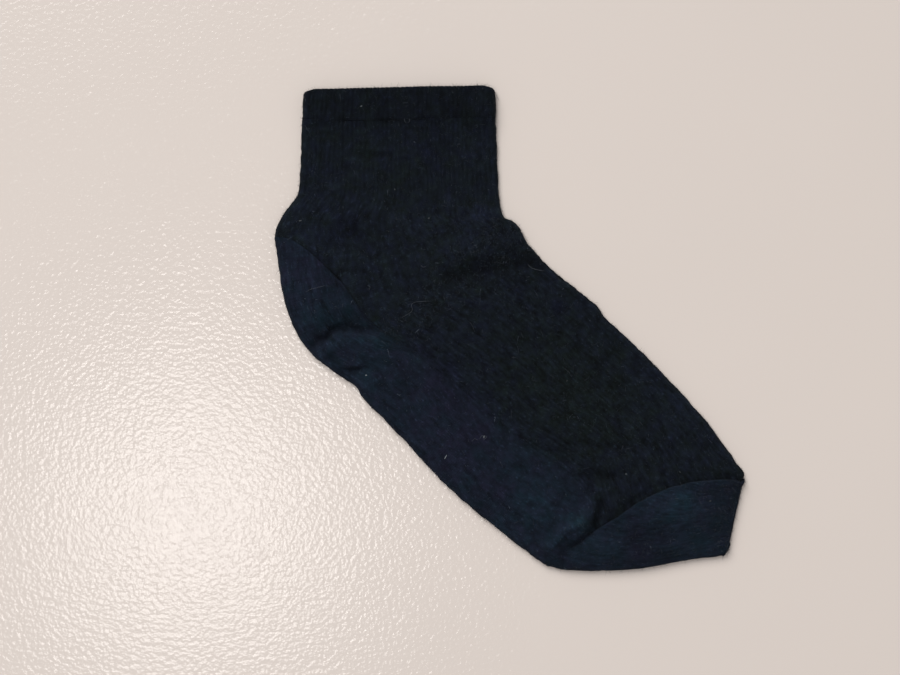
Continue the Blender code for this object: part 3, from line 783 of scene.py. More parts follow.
def add_wall(knitting, outer, inner, closed, at):
    """Faces of a wall of cloth: its outer face, its coarser inner face, and the rims between them."""
    rows, columns = outer.shape[:2]
    inner_rows, inner_columns = inner.shape[:2]
    first, inner_first = knitting.add_points(outer), knitting.add_points(inner)
    last_row = (inner_rows - 1) * INNER_ROWS

    def share(row, place):
        return np.stack([place / (columns if closed else columns - 1), row / (rows - 1)], axis=-1)

    row, place = quads(rows, columns, closed)
    outside = first + row * columns + place % columns
    knitting.add_faces(outside, at(row, place), share(row, place), OUTER_MAP)
    row, place = (corner[:, ::-1] for corner in quads(inner_rows, inner_columns, closed))
    there = np.minimum(row * INNER_ROWS, rows - 1), place * INNER_COLUMNS
    inside = inner_first + row * inner_columns + place % inner_columns
    knitting.add_faces(inside, at(*there), share(*there), INNER_MAP)

    def add_strip(corners, there, stitches, length, area, flipped):
        """Faces from an edge of the outer face to the inner face's edge. there holds over and under."""
        heights = np.concatenate([np.full(part.shape, float(k)) for k, part in enumerate(there)], axis=1)
        bakes = np.stack([np.concatenate(there, axis=1) / length, heights], axis=-1)
        order = slice(None, None, -1 if flipped else 1)
        corners = np.concatenate(corners, axis=1)
        knitting.add_faces(corners[:, order], stitches[:, order], bakes[:, order], area)

    def add_rim(row, inner_row, area, flipped):
        place = np.arange(inner_columns if closed else inner_columns - 1)[:, None] * INNER_COLUMNS
        over = place + np.arange(INNER_COLUMNS, -1, -1)
        under = place + (0, INNER_COLUMNS)
        outside = first + row * columns + over % columns
        inside = inner_first + inner_row * inner_columns + under // INNER_COLUMNS % inner_columns
        both = np.concatenate([over, under], axis=1)
        stitches = at(np.full_like(both, row), both)
        add_strip((outside, inside), (over, under), stitches, columns, area, flipped)

    def add_side(place, area, flipped):
        row = np.arange(inner_rows - 1)[:, None] * INNER_ROWS
        over = row + np.arange(INNER_ROWS + 1)
        under = row + (INNER_ROWS, 0)
        outside = first + over * columns + place
        inside = inner_first + under // INNER_ROWS * inner_columns + place // INNER_COLUMNS
        both = np.concatenate([over, under], axis=1)
        stitches = at(both, np.full_like(both, place))
        add_strip((outside, inside), (over, under), stitches, rows, area, flipped)

    add_rim(0, 0, RIM_MAPS[0], False)
    if last_row == rows - 1:
        add_rim(rows - 1, inner_rows - 1, RIM_MAPS[1], True)
    else:
        for start, count, row, step, area in (
            (first, columns, rows - 1, 1, CAP_MAPS[0]),
            (inner_first, inner_columns, inner_rows - 1, INNER_COLUMNS, CAP_MAPS[1]),
        ):
            ring = np.arange(count)[None, :: 1 if start == first else -1]
            whole = row if start == first else last_row
            bakes = 0.5 + 0.5 * circle(2 * np.pi * ring / count)
            stitches = at(np.full_like(ring, whole), ring * step)
            knitting.add_faces(start + row * count + ring, stitches, bakes, area)
    if not closed:
        add_side(0, SIDE_MAPS[0], False)
        add_side(columns - 1, SIDE_MAPS[1], True)


def rounded_tip(places):
    """Rows that close the toe's end in a round nose, past the last row of places."""
    ring = places[-1]
    middle = ring.mean(axis=0)
    onward = unit(middle - places[-4].mean(axis=0))
    rows = []
    for angle in np.radians((20, 40, 58, 74)):
        narrowed = 1 - 0.4 * (1 - np.cos(angle))
        shrunk = (ring - middle) * (narrowed, narrowed, np.cos(angle))
        rows.append(middle + shrunk + onward * 1.1 * np.sin(angle))
    return np.concatenate([places, rows])


# What a finished piece keeps of its outer face, for what grows or lies on it.
Face = namedtuple("Face", "places out turns")


def make_cloth(name, grid, wall, relief, material, ribbed, raised=0.0, has_tip=False):
    """A piece of knitted cloth: its relief on the outer face, a plain inner face, and rims.

    Its first rows stand raised millimetres higher, to meet the welt.
    """
    proud = raised * np.exp(-(grid.lengths - grid.lengths[0]) / RAISED_REACH)
    places = cloth_places(section_at(grid.lengths), grid.turns, 0.0, proud)
    hollow, turns = grid.lengths, grid.turns
    if has_tip:
        hollow = grid.lengths[0] + (grid.lengths - grid.lengths[0]) * TIP_HOLLOW
        places = rounded_tip(places)
        turns = np.concatenate([turns, np.repeat(turns[-1:], len(places) - len(turns), axis=0)])
    along, around = running(places, 0), running(places, 1)
    fold = np.argmin(np.abs(grid.ribs - RIBS / 2))
    to_side = np.minimum(around, around[:, -1:] - around)
    around = around - around[:, fold : fold + 1]
    out = normals(places, grid.closed)
    heights = relief(grid, around, along, along[-1:] - along)
    outer = places + out * heights[..., None]
    keep_above(outer, 0)
    coarse = slice(None, None, INNER_ROWS), slice(None, None, INNER_COLUMNS)
    inner = cloth_places(section_at(hollow[coarse]), grid.turns[coarse], wall, proud[coarse])

    knitting = Knitting()
    beyond = along[len(grid.lengths) - 1 :] - along[len(grid.lengths) - 1]
    travel = np.concatenate([grid.lengths[:-1], grid.lengths[-1:] + beyond])
    add_wall(knitting, outer, inner, grid.closed, stitch_map(grid, around, travel, ribbed))
    data = knitting.mesh(name)
    near_side = np.zeros_like(along) if grid.closed else 0.5 * np.exp(-to_side / 4)
    plain, blotches = (near_side, 0.1) if ribbed else (1 - near_side, 0.07)
    add_tones(data, places, turns, heights, plain, blotches)
    return finish_piece(name, data, material), Face(outer, out, turns)


def add_tones(data, places, turns, heights, plain, blotches, light=0.0):
    """Gives a mesh its shade, with light added, its cast, how sunk its knit is for painted shade, and how
    plain and grainy it is.
    """
    shade, cast = tones(places, turns, blotches)
    shade = shade + light
    grain = 0.72 + 0.28 * ease((58 - places[..., 1]) / 18)
    for name, values, rest in (
        ("shade", shade, 1.0), ("cast", cast, 0.0), ("sunk_shade", -heights, 0.5), ("plain", plain, 0.5),
        ("grain", grain, 1.0),
    ):
        filled = np.full(len(data.vertices), rest, np.float32)
        filled[: values.size] = values.ravel()
        add_attribute(data, name, filled)


def add_attribute(data, name, values):
    data.attributes.new(name, "FLOAT", "POINT").data.foreach_set("value", values.astype(np.float32))


def add_object(name, data):
    made = bpy.data.objects.new(name, data)
    bpy.context.scene.collection.objects.link(made)
    return made


def finish_piece(name, data, material, smooth=True):
    if smooth:
        data.shade_smooth()
        data.set_sharp_from_angle(angle=SHARP_ANGLE)
    data.materials.append(material)
    piece = add_object(name, data)
    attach(piece, "root")
    return piece


def welt_profile():
    """The turned band's section: how far below its top edge each row lies, and how deep in the cloth.

    The rows run from its inner foot up to the top fold, and down the outer face to its foot.
    """
    radius, corner = WELT_WALL / 2, WELT_CORNER
    foot = length_at(WELT_FOOT)
    over = np.linspace(np.pi, 0, WELT_ROWS)
    bend = np.linspace(0, np.pi / 2, WELT_CORNER_ROWS)
    down = np.linspace(0, 1, WELT_ROWS)
    offsets = [
        foot - corner * (1 - np.sin(bend[::-1])),
        foot - corner - (foot - corner - radius) * down[1:-1],
        radius * (1 - np.sin(over)),
        radius + (foot - corner - radius) * down[1:-1],
        foot - corner * (1 - np.sin(bend)),
        [foot],
    ]
    depths = [
        WELT_WALL - corner * (1 - np.cos(bend[::-1])),
        np.full(len(down) - 2, WELT_WALL),
        radius * (1 - np.cos(over)),
        np.zeros(len(down) - 2),
        corner * (1 - np.cos(bend)),
        [WELT_WALL / 2],
    ]
    return np.concatenate(offsets), np.concatenate(depths)


def make_welt(ribs, material):
    """The turned band: one loop of cloth, up its inside, over the top fold and down its outside."""
    offsets, depths = (np.tile(values[:, None], (1, len(ribs))) for values in welt_profile())
    ribs = np.tile(ribs, (len(offsets), 1))
    stray_foot = 0.25 * hills(ribs / 7, depths / 9, 41) + welt_foot(ribs / RIBS)
    stray_foot = stray_foot - length_at(WELT_FOOT)
    lengths = np.maximum(offsets + stray_foot * ease(offsets / 9), 0)
    places = cloth_places(section_at(lengths), ribs / RIBS, depths, WELT_PROUD)
    out = normals(places, True, True)
    steps = np.hypot(np.diff(offsets, axis=0), np.diff(depths, axis=0))
    along = np.concatenate([np.zeros((1, len(steps[0]))), np.cumsum(steps, axis=0)])
    heights = rib_relief(ribs, along - along[-1], RIB_DEPTH) + 0.05 * hills(ribs / 1.7, along / 1.6, 42)
    outer = places + out * heights[..., None]
    keep_above(outer, 0)

    knitting = Knitting()
    first = knitting.add_points(outer)
    rows, columns = outer.shape[:2]
    row, place = quads(rows, columns, True, True)
    whole = np.append(along[:, 0], along[-1, 0] + 1.0)
    stitches = np.stack([2 * (ribs[0, 0] + place / RIB_STEPS), whole[row] / COURSE], axis=-1)
    bakes = np.stack([place / columns, row / rows], axis=-1)
    corners = first + row % rows * columns + place % columns
    knitting.add_faces(corners, stitches, bakes, WHOLE_MAP)
    data = knitting.mesh("welt")
    add_tones(data, places, ribs / RIBS, heights, np.zeros_like(heights), 0.16, WELT_LIGHT)
    return finish_piece("welt", data, material), Face(outer, out, ribs / RIBS)


# ---- fuzz, loose fibres and lint

def add_hairs(knitting, roots, directions, lengths, widths, bends):
    """Tapered hairs of three sides and two bent lengths each, every one a closed solid."""
    side = unit(np.cross(directions, (0.31, 0.52, 0.79)))
    other = np.cross(directions, side)
    half = roots + directions * lengths[:, None] * 0.5
    tips = half + (directions + bends) * lengths[:, None] * 0.5
    rings = []
    for middle, width in ((roots, widths), (half, widths * 0.8)):
        for angle in (0, 2 * np.pi / 3, 4 * np.pi / 3):
            rings.append(middle + (side * np.cos(angle) + other * np.sin(angle)) * width[:, None] / 2)
    points = np.stack([*rings, tips], axis=1)
    keep_above(points, LEAST_HEIGHT)
    first = knitting.add_points(points) + HAIR_POINTS * np.arange(len(roots))[:, None]
    side_of = math.ceil(math.sqrt(len(roots)))
    cell = np.stack([np.arange(len(roots)) % side_of, np.arange(len(roots)) // side_of], axis=-1)[:, None]
    for k in range(3):
        n = (k + 1) % 3
        low, high = 0.1 + 0.25 * k, 0.3 + 0.25 * k
        for corners, spots in (
            ((k, n, 3 + n, 3 + k), ((low, 0.1), (high, 0.1), (high, 0.5), (low, 0.5))),
            ((3 + k, 3 + n, 6), ((low, 0.5), (high, 0.5), ((low + high) / 2, 0.9))),
        ):
            bakes = (cell + np.array(spots)) / side_of
            knitting.add_faces(first + np.array(corners), bakes, bakes, WHOLE_MAP)
    spots = np.array(((0.85, 0.1), (0.95, 0.1), (0.9, 0.2)))
    bakes = (cell + spots) / side_of
    knitting.add_faces(first + np.array((0, 2, 1)), bakes, bakes, WHOLE_MAP)


def make_fuzz(faces, material, count):
    """Short hairs all over the cloth, thicker along the folds, where they stand out from its edge."""
    random = np.random.default_rng(71)
    places = np.concatenate([face.places.reshape(-1, 3) for face in faces])
    out = np.concatenate([face.out.reshape(-1, 3) for face in faces])
    turns = np.concatenate([face.turns.ravel() for face in faces]) % 1
    from_fold = np.minimum(np.minimum(turns, 1 - turns), abs(turns - 0.5))
    clumps = np.clip(0.6 + 1.1 * hills_over(places, 5, 72), 0.1, 2)
    for *middle, reach in TUFTS:
        closeness = np.exp(-np.sum((places[:, :2] - middle) ** 2, axis=1) / reach**2)
        clumps += 3 / (1 + reach / 3) * closeness
    wanted = np.where(turns <= 0.5, clumps, 0.12) + 1.6 * np.exp(-from_fold / 0.006)
    picked = random.choice(len(places), count, replace=False, p=wanted / wanted.sum())
    long = random.uniform(size=count) < LONG_HAIRS
    drift = random.normal(size=(count, 3))
    drift -= 0.8 * out[picked] * np.sum(drift * out[picked], axis=1, keepdims=True)
    rise = np.where(long, 0.06, random.uniform(0.1, 0.8, count))
    directions = unit(out[picked] * rise[:, None] + drift * 0.6)
    long_ones = random.uniform(1.6, 3.4, count)
    lengths = np.where(long, long_ones, np.minimum(random.gamma(2.0, 0.38, count) + 0.3, 1.9))
    widths = np.where(long, 1.5, 1.0) * random.uniform(0.035, 0.075, count)
    knitting = Knitting()
    roots = places[picked] - out[picked] * 0.05
    add_hairs(knitting, roots, directions, lengths, widths, drift[:, ::-1] * 0.4)
    data = knitting.mesh("fuzz")
    tints = random.lognormal(0.0, 0.75, count) * np.where(long, 0.75, 1.0)
    add_attribute(data, "shade", np.repeat(tints, HAIR_POINTS))
    return finish_piece("fuzz", data, material, smooth=False)


def tops_of(faces):
    """The points on top of the sock, with their ribs, seams and creases."""
    return np.concatenate([face.places[face.out[..., 2] > UPWARD] for face in faces])


def height_at(place, tops):
    """The top of the cloth at (x, y)."""
    away = np.hypot(tops[:, 0] - place[0], tops[:, 1] - place[1])
    return tops[np.argmin(away), 2]


def thread_path(places, tops, steps=10):
    """A smooth line through places (x, y), or (x, y, height above the cloth)."""
    lifts = [place[2] if len(place) > 2 else FIBRE_LIFT for place in places]
    heights = [height_at(place, tops) + lift for place, lift in zip(places, lifts)]
    held = np.array([(x, y, height) for (x, y, *_), height in zip(places, heights)])
    return between_rows(held, np.linspace(0, len(places) - 1, steps * (len(places) - 1) + 1))


def add_thread(knitting, path, width, area):
    """A thin round thread along a path, drawn out fine at both ends."""
    sides = 6
    along = unit(np.gradient(path, axis=0))
    side = unit(np.cross(along, (0.0, 0.0, 1.0)))
    up = np.cross(along, side)
    share = np.linspace(0, 1, len(path))
    thick = width / 2 * np.clip(6 * np.minimum(share, 1 - share) + 0.15, 0, 1)
    angles = 2 * np.pi * np.arange(sides) / sides
    ring = side[:, None] * np.cos(angles)[:, None] + up[:, None] * np.sin(angles)[:, None]
    points = path[:, None] + ring * thick[:, None, None]
    keep_above(points, LEAST_HEIGHT)
    first = knitting.add_points(points)
    row, place = quads(len(path), sides, True)
    bakes = np.stack([row / (len(path) - 1), place / sides * 0.9], axis=-1)
    knitting.add_faces(first + row * sides + place % sides, bakes, bakes, area)
    for row, order, spot in ((0, -1, 0.02), (len(path) - 1, 1, 0.08)):
        ring = np.arange(sides)[None, ::order]
        spots = ((spot, 0.95) + (0.01, 0.04) * circle(angles))[None]
        knitting.add_faces(first + row * sides + ring, spots, spots, area)


# A place is (x, y), or (x, y, height above the cloth).
Fibre = namedtuple("Fibre", "width places")
LOOSE_FIBRES = (
    Fibre(0.12, (
        (-45.6, 4.2), (-43.2, 5.4), (-41, 6.9), (-40.6, 8, 0.3), (-41, 9.6, 0.4),
        (-40, 10.6, 0.4), (-38.6, 11, 0.5), (-35.4, 11.2, 0.4), (-32.2, 11.3),
    )),
    Fibre(0.15, ((7.6, 26.8), (9, 25.3, 0.3), (11.6, 24.4, 0.3), (15, 23.8, 0.2))),
    Fibre(0.10, ((-85.4, 14.8), (-83, 16.2), (-80, 17), (-76.4, 17.9))),
    Fibre(0.12, ((-12.8, -46.6), (-11.4, -44.8, 0.4), (-9.6, -45.4, 0.5), (-11, -46.8, 0.3))),
    Fibre(0.10, ((-15.8, -47.2), (-14.6, -46.2, 0.3), (-13.2, -46.8))),
    Fibre(0.10, ((-59.4, 18), (-58.2, 17, 0.3), (-58.8, 15.8))),
    Fibre(0.09, ((-37.4, 26.4), (-36, 25.4, 0.3), (-34.8, 26))),
    Fibre(0.06, ((22.6, -16.6), (24.6, -18.2, 0.2), (26, -20.4))),
    Fibre(0.06, ((-17, 2.8), (-15.6, 1, 0.2), (-14.6, -1.6))),
    Fibre(0.06, ((46.4, -51.2), (47.4, -49.4, 0.2), (47.2, -47.4))),
)


def make_loose_fibres(tops, material):
    knitting = Knitting()
    paths = [(width, thread_path(places, tops)) for width, places in LOOSE_FIBRES]
    # A loop pulled out of the welt's foot, and a fibre that hangs out at its front corner.
    angles = np.linspace(0.15, 2 * np.pi - 0.15, 22)
    flat = np.stack([-42.8 + 1.1 * np.sin(angles), 86.8 - 1.2 * np.cos(angles)], axis=-1)
    heights = [height_at(place, tops) for place in flat] + 0.5 * np.sin(angles / 2)
    loop = np.column_stack([flat, heights])
    share = np.linspace(0, 1, 16)
    hanging = np.stack([-7.2 + 2.9 * share, 99.8 - 4.6 * share**1.6, 3.2 - 2.6 * share**2], axis=-1)
    paths += [(0.16, loop), (0.14, hanging)]
    for k, (width, path) in enumerate(paths):
        area = (0.02, (k + 0.1) / len(paths), 0.98, (k + 0.9) / len(paths))
        add_thread(knitting, path, width, area)
    return finish_piece("loose_fibres", knitting.mesh("loose_fibres"), material)


# Lint seen one by one, at an angle in degrees.
Fleck = namedtuple("Fleck", "x y length width angle shade")
LINT = (
    Fleck(-26.7, -53.8, 2.1, 0.34, 62, 1.3),
    Fleck(-59.9, -19.7, 0.9, 0.55, 20, 1.1),
    Fleck(-10.7, -45.4, 1.1, 0.60, 75, 0.9),
    Fleck(48.8, -60.9, 1, 0.5, 0, 0.8),
    Fleck(-61.9, 92.5, 1, 0.45, 30, 0.7),
    Fleck(-48, 58, 0.8, 0.3, 110, 0.5),
    Fleck(-33.7, 45.9, 0.8, 0.4, 20, 0.5),
    Fleck(-87.4, 44.8, 1.3, 0.5, 5, 0.45),
    Fleck(-44.8, 88.9, 1.2, 0.4, 135, 0.5),
    Fleck(24, -22, 0.7, 0.3, 45, 0.4),
    Fleck(71, -60, 0.8, 0.3, 140, 0.4),
    Fleck(83.5, -72, 0.9, 0.35, 15, 0.4),
)


def make_lint(tops, material, count):
    """Flecks pressed onto the cloth: those seen one by one, and finer ones strewn about."""
    random = np.random.default_rng(83)
    flecks = list(LINT)
    while len(flecks) < count:
        section, turn = random.uniform(0.6, TIP - 0.6), random.uniform(0.02, 0.48)
        x, y, _ = cloth_places(np.array([section]), np.array([turn]), 0.0)[0]
        length, width = random.uniform((0.12, 0.10), (0.40, 0.18))
        angle, shade = random.uniform(0, 180), random.uniform(0.1, 0.6)
        flecks.append(Fleck(x, y, length, width, angle, shade))
    knitting = Knitting()
    sides, rings = 8, 5
    across = math.ceil(math.sqrt(count))
    for k, (x, y, length, width, angle, _) in enumerate(flecks):
        around = 2 * np.pi * np.arange(sides) / sides
        rise = np.linspace(0.08, 0.92, rings) * np.pi
        lumpy = 1 + 0.22 * random.uniform(-1, 1, (rings, sides))
        body = np.stack([
            length / 2 * -np.cos(rise)[:, None] * np.ones(sides),
            width / 2 * np.sin(rise)[:, None] * np.cos(around) * lumpy,
            width / 3 * np.sin(rise)[:, None] * np.sin(around) * lumpy,
        ], axis=-1)
        c, s = np.cos(np.radians(angle)), np.sin(np.radians(angle))
        turned = body @ np.array(((c, s, 0), (-s, c, 0), (0, 0, 1)))
        first = knitting.add_points(turned + (x, y, height_at((x, y), tops) + width / 8))
        row, place = quads(rings, sides, True)
        cell = np.array([k % across, k // across])
        bakes = (cell + 0.08 + 0.84 * np.stack([row / (rings - 1) * 0.85, place / sides], axis=-1)) / across
        knitting.add_faces(first + row * sides + place % sides, bakes, bakes, WHOLE_MAP)
        for row, order, spot in ((0, -1, (0.93, 0.93)), (rings - 1, 1, (0.93, 0.5))):
            ring = np.arange(sides)[None, ::order]
            spots = spot + 0.04 * circle(around)[None]
            corners = first + row * sides + ring
            knitting.add_faces(corners, spots, (cell + spots) / across, WHOLE_MAP)
    data = knitting.mesh("lint")
    add_attribute(data, "shade", np.repeat([fleck.shade for fleck in flecks], rings * sides))
    return finish_piece("lint", data, material)


# ---- materials

# Ribbed zones drift between olive and slate, and plain zones between teal and violet.
OLIVE = (0.0057, 0.0092, 0.0100)
SLATE = (0.0060, 0.0084, 0.0182)
TEAL = (0.0050, 0.0124, 0.0198)
VIOLET = (0.0094, 0.0104, 0.0224)
FUZZ_COLOUR = (0.021, 0.026, 0.034)
FIBRE_COLOUR = (0.07, 0.08, 0.10)
LINT_COLOUR = (0.16, 0.18, 0.20)
FLOOR_COLOUR = (0.80, 0.722, 0.678)


def add_node(tree, kind, inputs, **settings):
    """Adds a node. inputs gives each socket, by name or number, a value or another node's output."""
    made = tree.nodes.new(kind)
    for name, value in settings.items():
        setattr(made, name, value)
    for socket, value in inputs.items():
        if isinstance(value, bpy.types.NodeSocket):
            tree.links.new(value, made.inputs[socket])
        else:
            made.inputs[socket].default_value = value
    return made


def maths(tree, operation, first, second=0.0):
    return add_node(tree, "ShaderNodeMath", {0: first, 1: second}, operation=operation).outputs[0]


def spread(tree, value, low, high, least=0.0, most=1.0):
    """Takes a value from least to most to the stretch from low to high."""
    inputs = {"Value": value, "From Min": least, "From Max": most, "To Min": low, "To Max": high}
    return add_node(tree, "ShaderNodeMapRange", inputs).outputs[0]


def noise(tree, scale, detail=2.0, roughness=0.5):
    where = add_node(tree, "ShaderNodeTexCoord", {}).outputs["Object"]
    inputs = {"Vector": where, "Scale": scale, "Detail": detail, "Roughness": roughness}
    return add_node(tree, "ShaderNodeTexNoise", inputs).outputs["Fac"]


def new_material(name, roughness, specular, sheen=0.0, sheen_tint=(1.0, 1.0, 1.0, 1.0)):
    material = bpy.data.materials.new(name)
    material.use_nodes = True
    shader = material.node_tree.nodes["Principled BSDF"]
    for socket, value in (
        ("Roughness", roughness), ("Specular IOR Level", specular), ("Sheen Weight", sheen),
        ("Sheen Roughness", 0.45), ("Sheen Tint", sheen_tint),
    ):
        shader.inputs[socket].default_value = value
    return material, material.node_tree, shader


def stitch_places(tree):
    """Where a point lies on the knit, in wales and courses."""
    return add_node(tree, "ShaderNodeUVMap", {}, uv_map="stitch").outputs[0]


def knit_stitches(tree):
    """The height of V-shaped loops: two slanting legs to a wale, a row of them to a course."""
    split = add_node(tree, "ShaderNodeSeparateXYZ", {0: stitch_places(tree)})
    wobble = spread(tree, noise(tree, 900, 1.0), -0.16, 0.16)
    wale = maths(tree, "ADD", split.outputs[0], wobble)
    off = maths(tree, "ABSOLUTE", maths(tree, "SUBTRACT", maths(tree, "FRACT", wale), 0.5))
    leg = maths(tree, "SINE", maths(tree, "MULTIPLY", off, 2 * math.pi))
    course = maths(tree, "ADD", split.outputs[1], wobble)
    slant = maths(tree, "ADD", course, maths(tree, "MULTIPLY", off, 1.5))
    loop = maths(tree, "SINE", maths(tree, "MULTIPLY", maths(tree, "FRACT", slant), math.pi))
    return maths(tree, "MULTIPLY", leg, loop)


def attribute(tree, name):
    return add_node(tree, "ShaderNodeAttribute", {}, attribute_name=name).outputs["Fac"]


def mixed(tree, share, first, second):
    return add_node(tree, "ShaderNodeMix", {0: share, 6: first, 7: second}, data_type="RGBA").outputs[2]


def streaks(tree, across, along, detail):
    """Noise drawn out along the wales. across and along are its size in wales and courses."""
    stretch = (1 / across, 1 / along, 1.0)
    scaled = add_node(tree, "ShaderNodeMapping", {0: stitch_places(tree), 3: stretch}).outputs[0]
    return add_node(tree, "ShaderNodeTexNoise", {0: scaled, "Scale": 1.0, "Detail": detail}).outputs["Fac"]


def paint(tree, shader, colour, shade):
    """Links a colour to the shader, made paler or darker by shade."""
    scaled = add_node(tree, "ShaderNodeVectorMath", {0: colour, "Scale": shade}, operation="SCALE")
    tree.links.new(scaled.outputs[0], shader.inputs["Base Color"])


def emboss(tree, socket, height, distance):
    bump = {"Height": height, "Distance": distance, "Strength": 1.0}
    tree.links.new(add_node(tree, "ShaderNodeBump", bump).outputs[0], socket)


def knit_material(name, stitch_depth, grain, speckles):
    """Matt cotton knit, violet and green in patches, heathered with paler fibres."""
    material, tree, shader = new_material(
        name, roughness=0.92, specular=0.09, sheen=0.025, sheen_tint=(0.7, 0.85, 1.0, 1.0)
    )
    stitches = knit_stitches(tree)
    speckle = spread(tree, noise(tree, 420, 3.0, 0.6), -speckles, speckles)
    cast = spread(tree, maths(tree, "ADD", attribute(tree, "cast"), speckle), 0.0, 1.0, -1.2, 1.2)
    plain = maths(tree, "ADD", attribute(tree, "plain"), spread(tree, noise(tree, 260, 2.0), -0.35, 0.35))
    ribbed_colour = mixed(tree, cast, (*OLIVE, 1), (*SLATE, 1))
    plain_colour = mixed(tree, cast, (*TEAL, 1), (*VIOLET, 1))
    colour = mixed(tree, plain, ribbed_colour, plain_colour)
    strands = spread(tree, streaks(tree, 1.0, 2.4, 1.0), 0.0, 1.6, 0.60, 0.82)
    heather = maths(tree, "SUBTRACT", strands, 1.0)
    for texture, reach in (
        (noise(tree, 1300, 2.0, 0.6), 0.75),
        (streaks(tree, 1.9, 5.5, 1.0), 1.3),
        (streaks(tree, 3.2, 9.0, 1.0), 1.0),
        (noise(tree, 520, 2.0), 0.8),
        (noise(tree, 260, 1.0), 0.45),
    ):
        heather = maths(tree, "ADD", heather, spread(tree, texture, -reach / 2, reach / 2))
    grainy = maths(tree, "MULTIPLY", attribute(tree, "grain"), grain)
    heather = maths(tree, "MULTIPLY", maths(tree, "ADD", heather, 1.0), grainy)
    heather = maths(tree, "MAXIMUM", maths(tree, "ADD", heather, 1.0), 0.2)
    # The shade attribute carries the creases' painted light and painted shade, with the wear patches.
    shade = maths(tree, "MULTIPLY", attribute(tree, "shade"), heather)
    # Painted shade: darker in the gaps between loops and where the knit is sunk, in rib valleys and seam
    # grooves.
    for part in (
        spread(tree, stitches, 0.94, 1.04),
        spread(tree, maths(tree, "MULTIPLY", attribute(tree, "sunk_shade"), 2.0), 1.10, 0.60),
    ):
        shade = maths(tree, "MULTIPLY", shade, part)
    paint(tree, shader, colour, shade)
    fibres = maths(tree, "MULTIPLY", noise(tree, 3200, 2.0, 0.6), 0.5)
    emboss(tree, shader.inputs["Normal"], maths(tree, "ADD", stitches, fibres), stitch_depth * MM)
    return material


def fibre_material(name, colour, variation, tinted=False):
    """Fine fibres and flecks, uneven in shade along and between them."""
    material, tree, shader = new_material(name, roughness=0.8, specular=0.2, sheen=0.05)
    shade = spread(tree, noise(tree, 420, 2.0), 1 - variation, 1 + variation)
    if tinted:
        shade = maths(tree, "MULTIPLY", shade, attribute(tree, "shade"))
    paint(tree, shader, colour, shade)
    return material


def floor_material():
    """A pale floor with a faint orange-peel gloss."""
    material, tree, shader = new_material("pale_floor", roughness=0.5, specular=0.3)
    shader.inputs["Coat Weight"].default_value = 1.0
    shader.inputs["Coat Roughness"].default_value = 0.18
    paint(tree, shader, FLOOR_COLOUR, spread(tree, noise(tree, 9, 2.0), 0.985, 1.015))
    emboss(tree, shader.inputs["Coat Normal"], noise(tree, 520, 1.0), 0.2 * MM)
    return material


# ---- the stage

FLOOR_HEIGHT = -0.0001
FLOOR_REACH = 4.0
ROOM_LIGHT = 0.32
VIEW_WIDTH = 0.378
LENS, SENSOR = 70.0, 36.0
VIEW_MIDDLE = (-0.0249, -0.0039)

# A wide lamp lights the whole sock from behind, and a small one glints on the floor.
Lamp = namedtuple("Lamp", "name place aim size power colour")
LAMPS = (
    Lamp("key", (-2.8, 5.4, 6.5), (0, -0.02, 0), 7.1, 565, (1, 0.985, 0.955)),
    Lamp("window", (-0.3, -0.19, 1.15), (-0.05, -0.05, 0), 0.28, 1.8, (1, 0.96, 0.93)),
)


def make_floor():
    data = bpy.data.meshes.new("floor")
    corners = [
        (x * FLOOR_REACH, y * FLOOR_REACH, FLOOR_HEIGHT) for x, y in ((-1, -1), (1, -1), (1, 1), (-1, 1))
    ]
    data.from_pydata(corners, [], [(0, 1, 2, 3)])
    data.materials.append(floor_material())
    add_object("floor", data)


def make_light(lamp):
    data = bpy.data.lights.new(lamp.name, "AREA")
    data.shape = "DISK"
    data.size = lamp.size
    data.energy = lamp.power
    data.color = lamp.colour
    light = add_object(lamp.name, data)
    light.location = lamp.place
    x, y, z = np.subtract(lamp.aim, lamp.place)
    light.rotation_euler = (math.atan2(math.hypot(x, y), -z), 0, math.atan2(y, x) - math.pi / 2)


def make_world():
    world = bpy.data.worlds.new("soft_room")
    world.use_nodes = True
    background = world.node_tree.nodes["Background"]
    background.inputs["Color"].default_value = (1.0, 0.985, 0.97, 1.0)
    background.inputs["Strength"].default_value = ROOM_LIGHT
    bpy.context.scene.world = world


def make_camera():
    camera = bpy.data.cameras.new("camera")
    camera.lens, camera.sensor_width = LENS, SENSOR
    view = add_object("camera", camera)
    view.location = (*VIEW_MIDDLE, VIEW_WIDTH * LENS / SENSOR)
    bpy.context.scene.camera = view


def make_stage():
    make_floor()
    for lamp in LAMPS:
        make_light(lamp)
    make_world()
    make_camera()
    bpy.context.scene.view_settings.view_transform = "Standard"


# ---- the sock

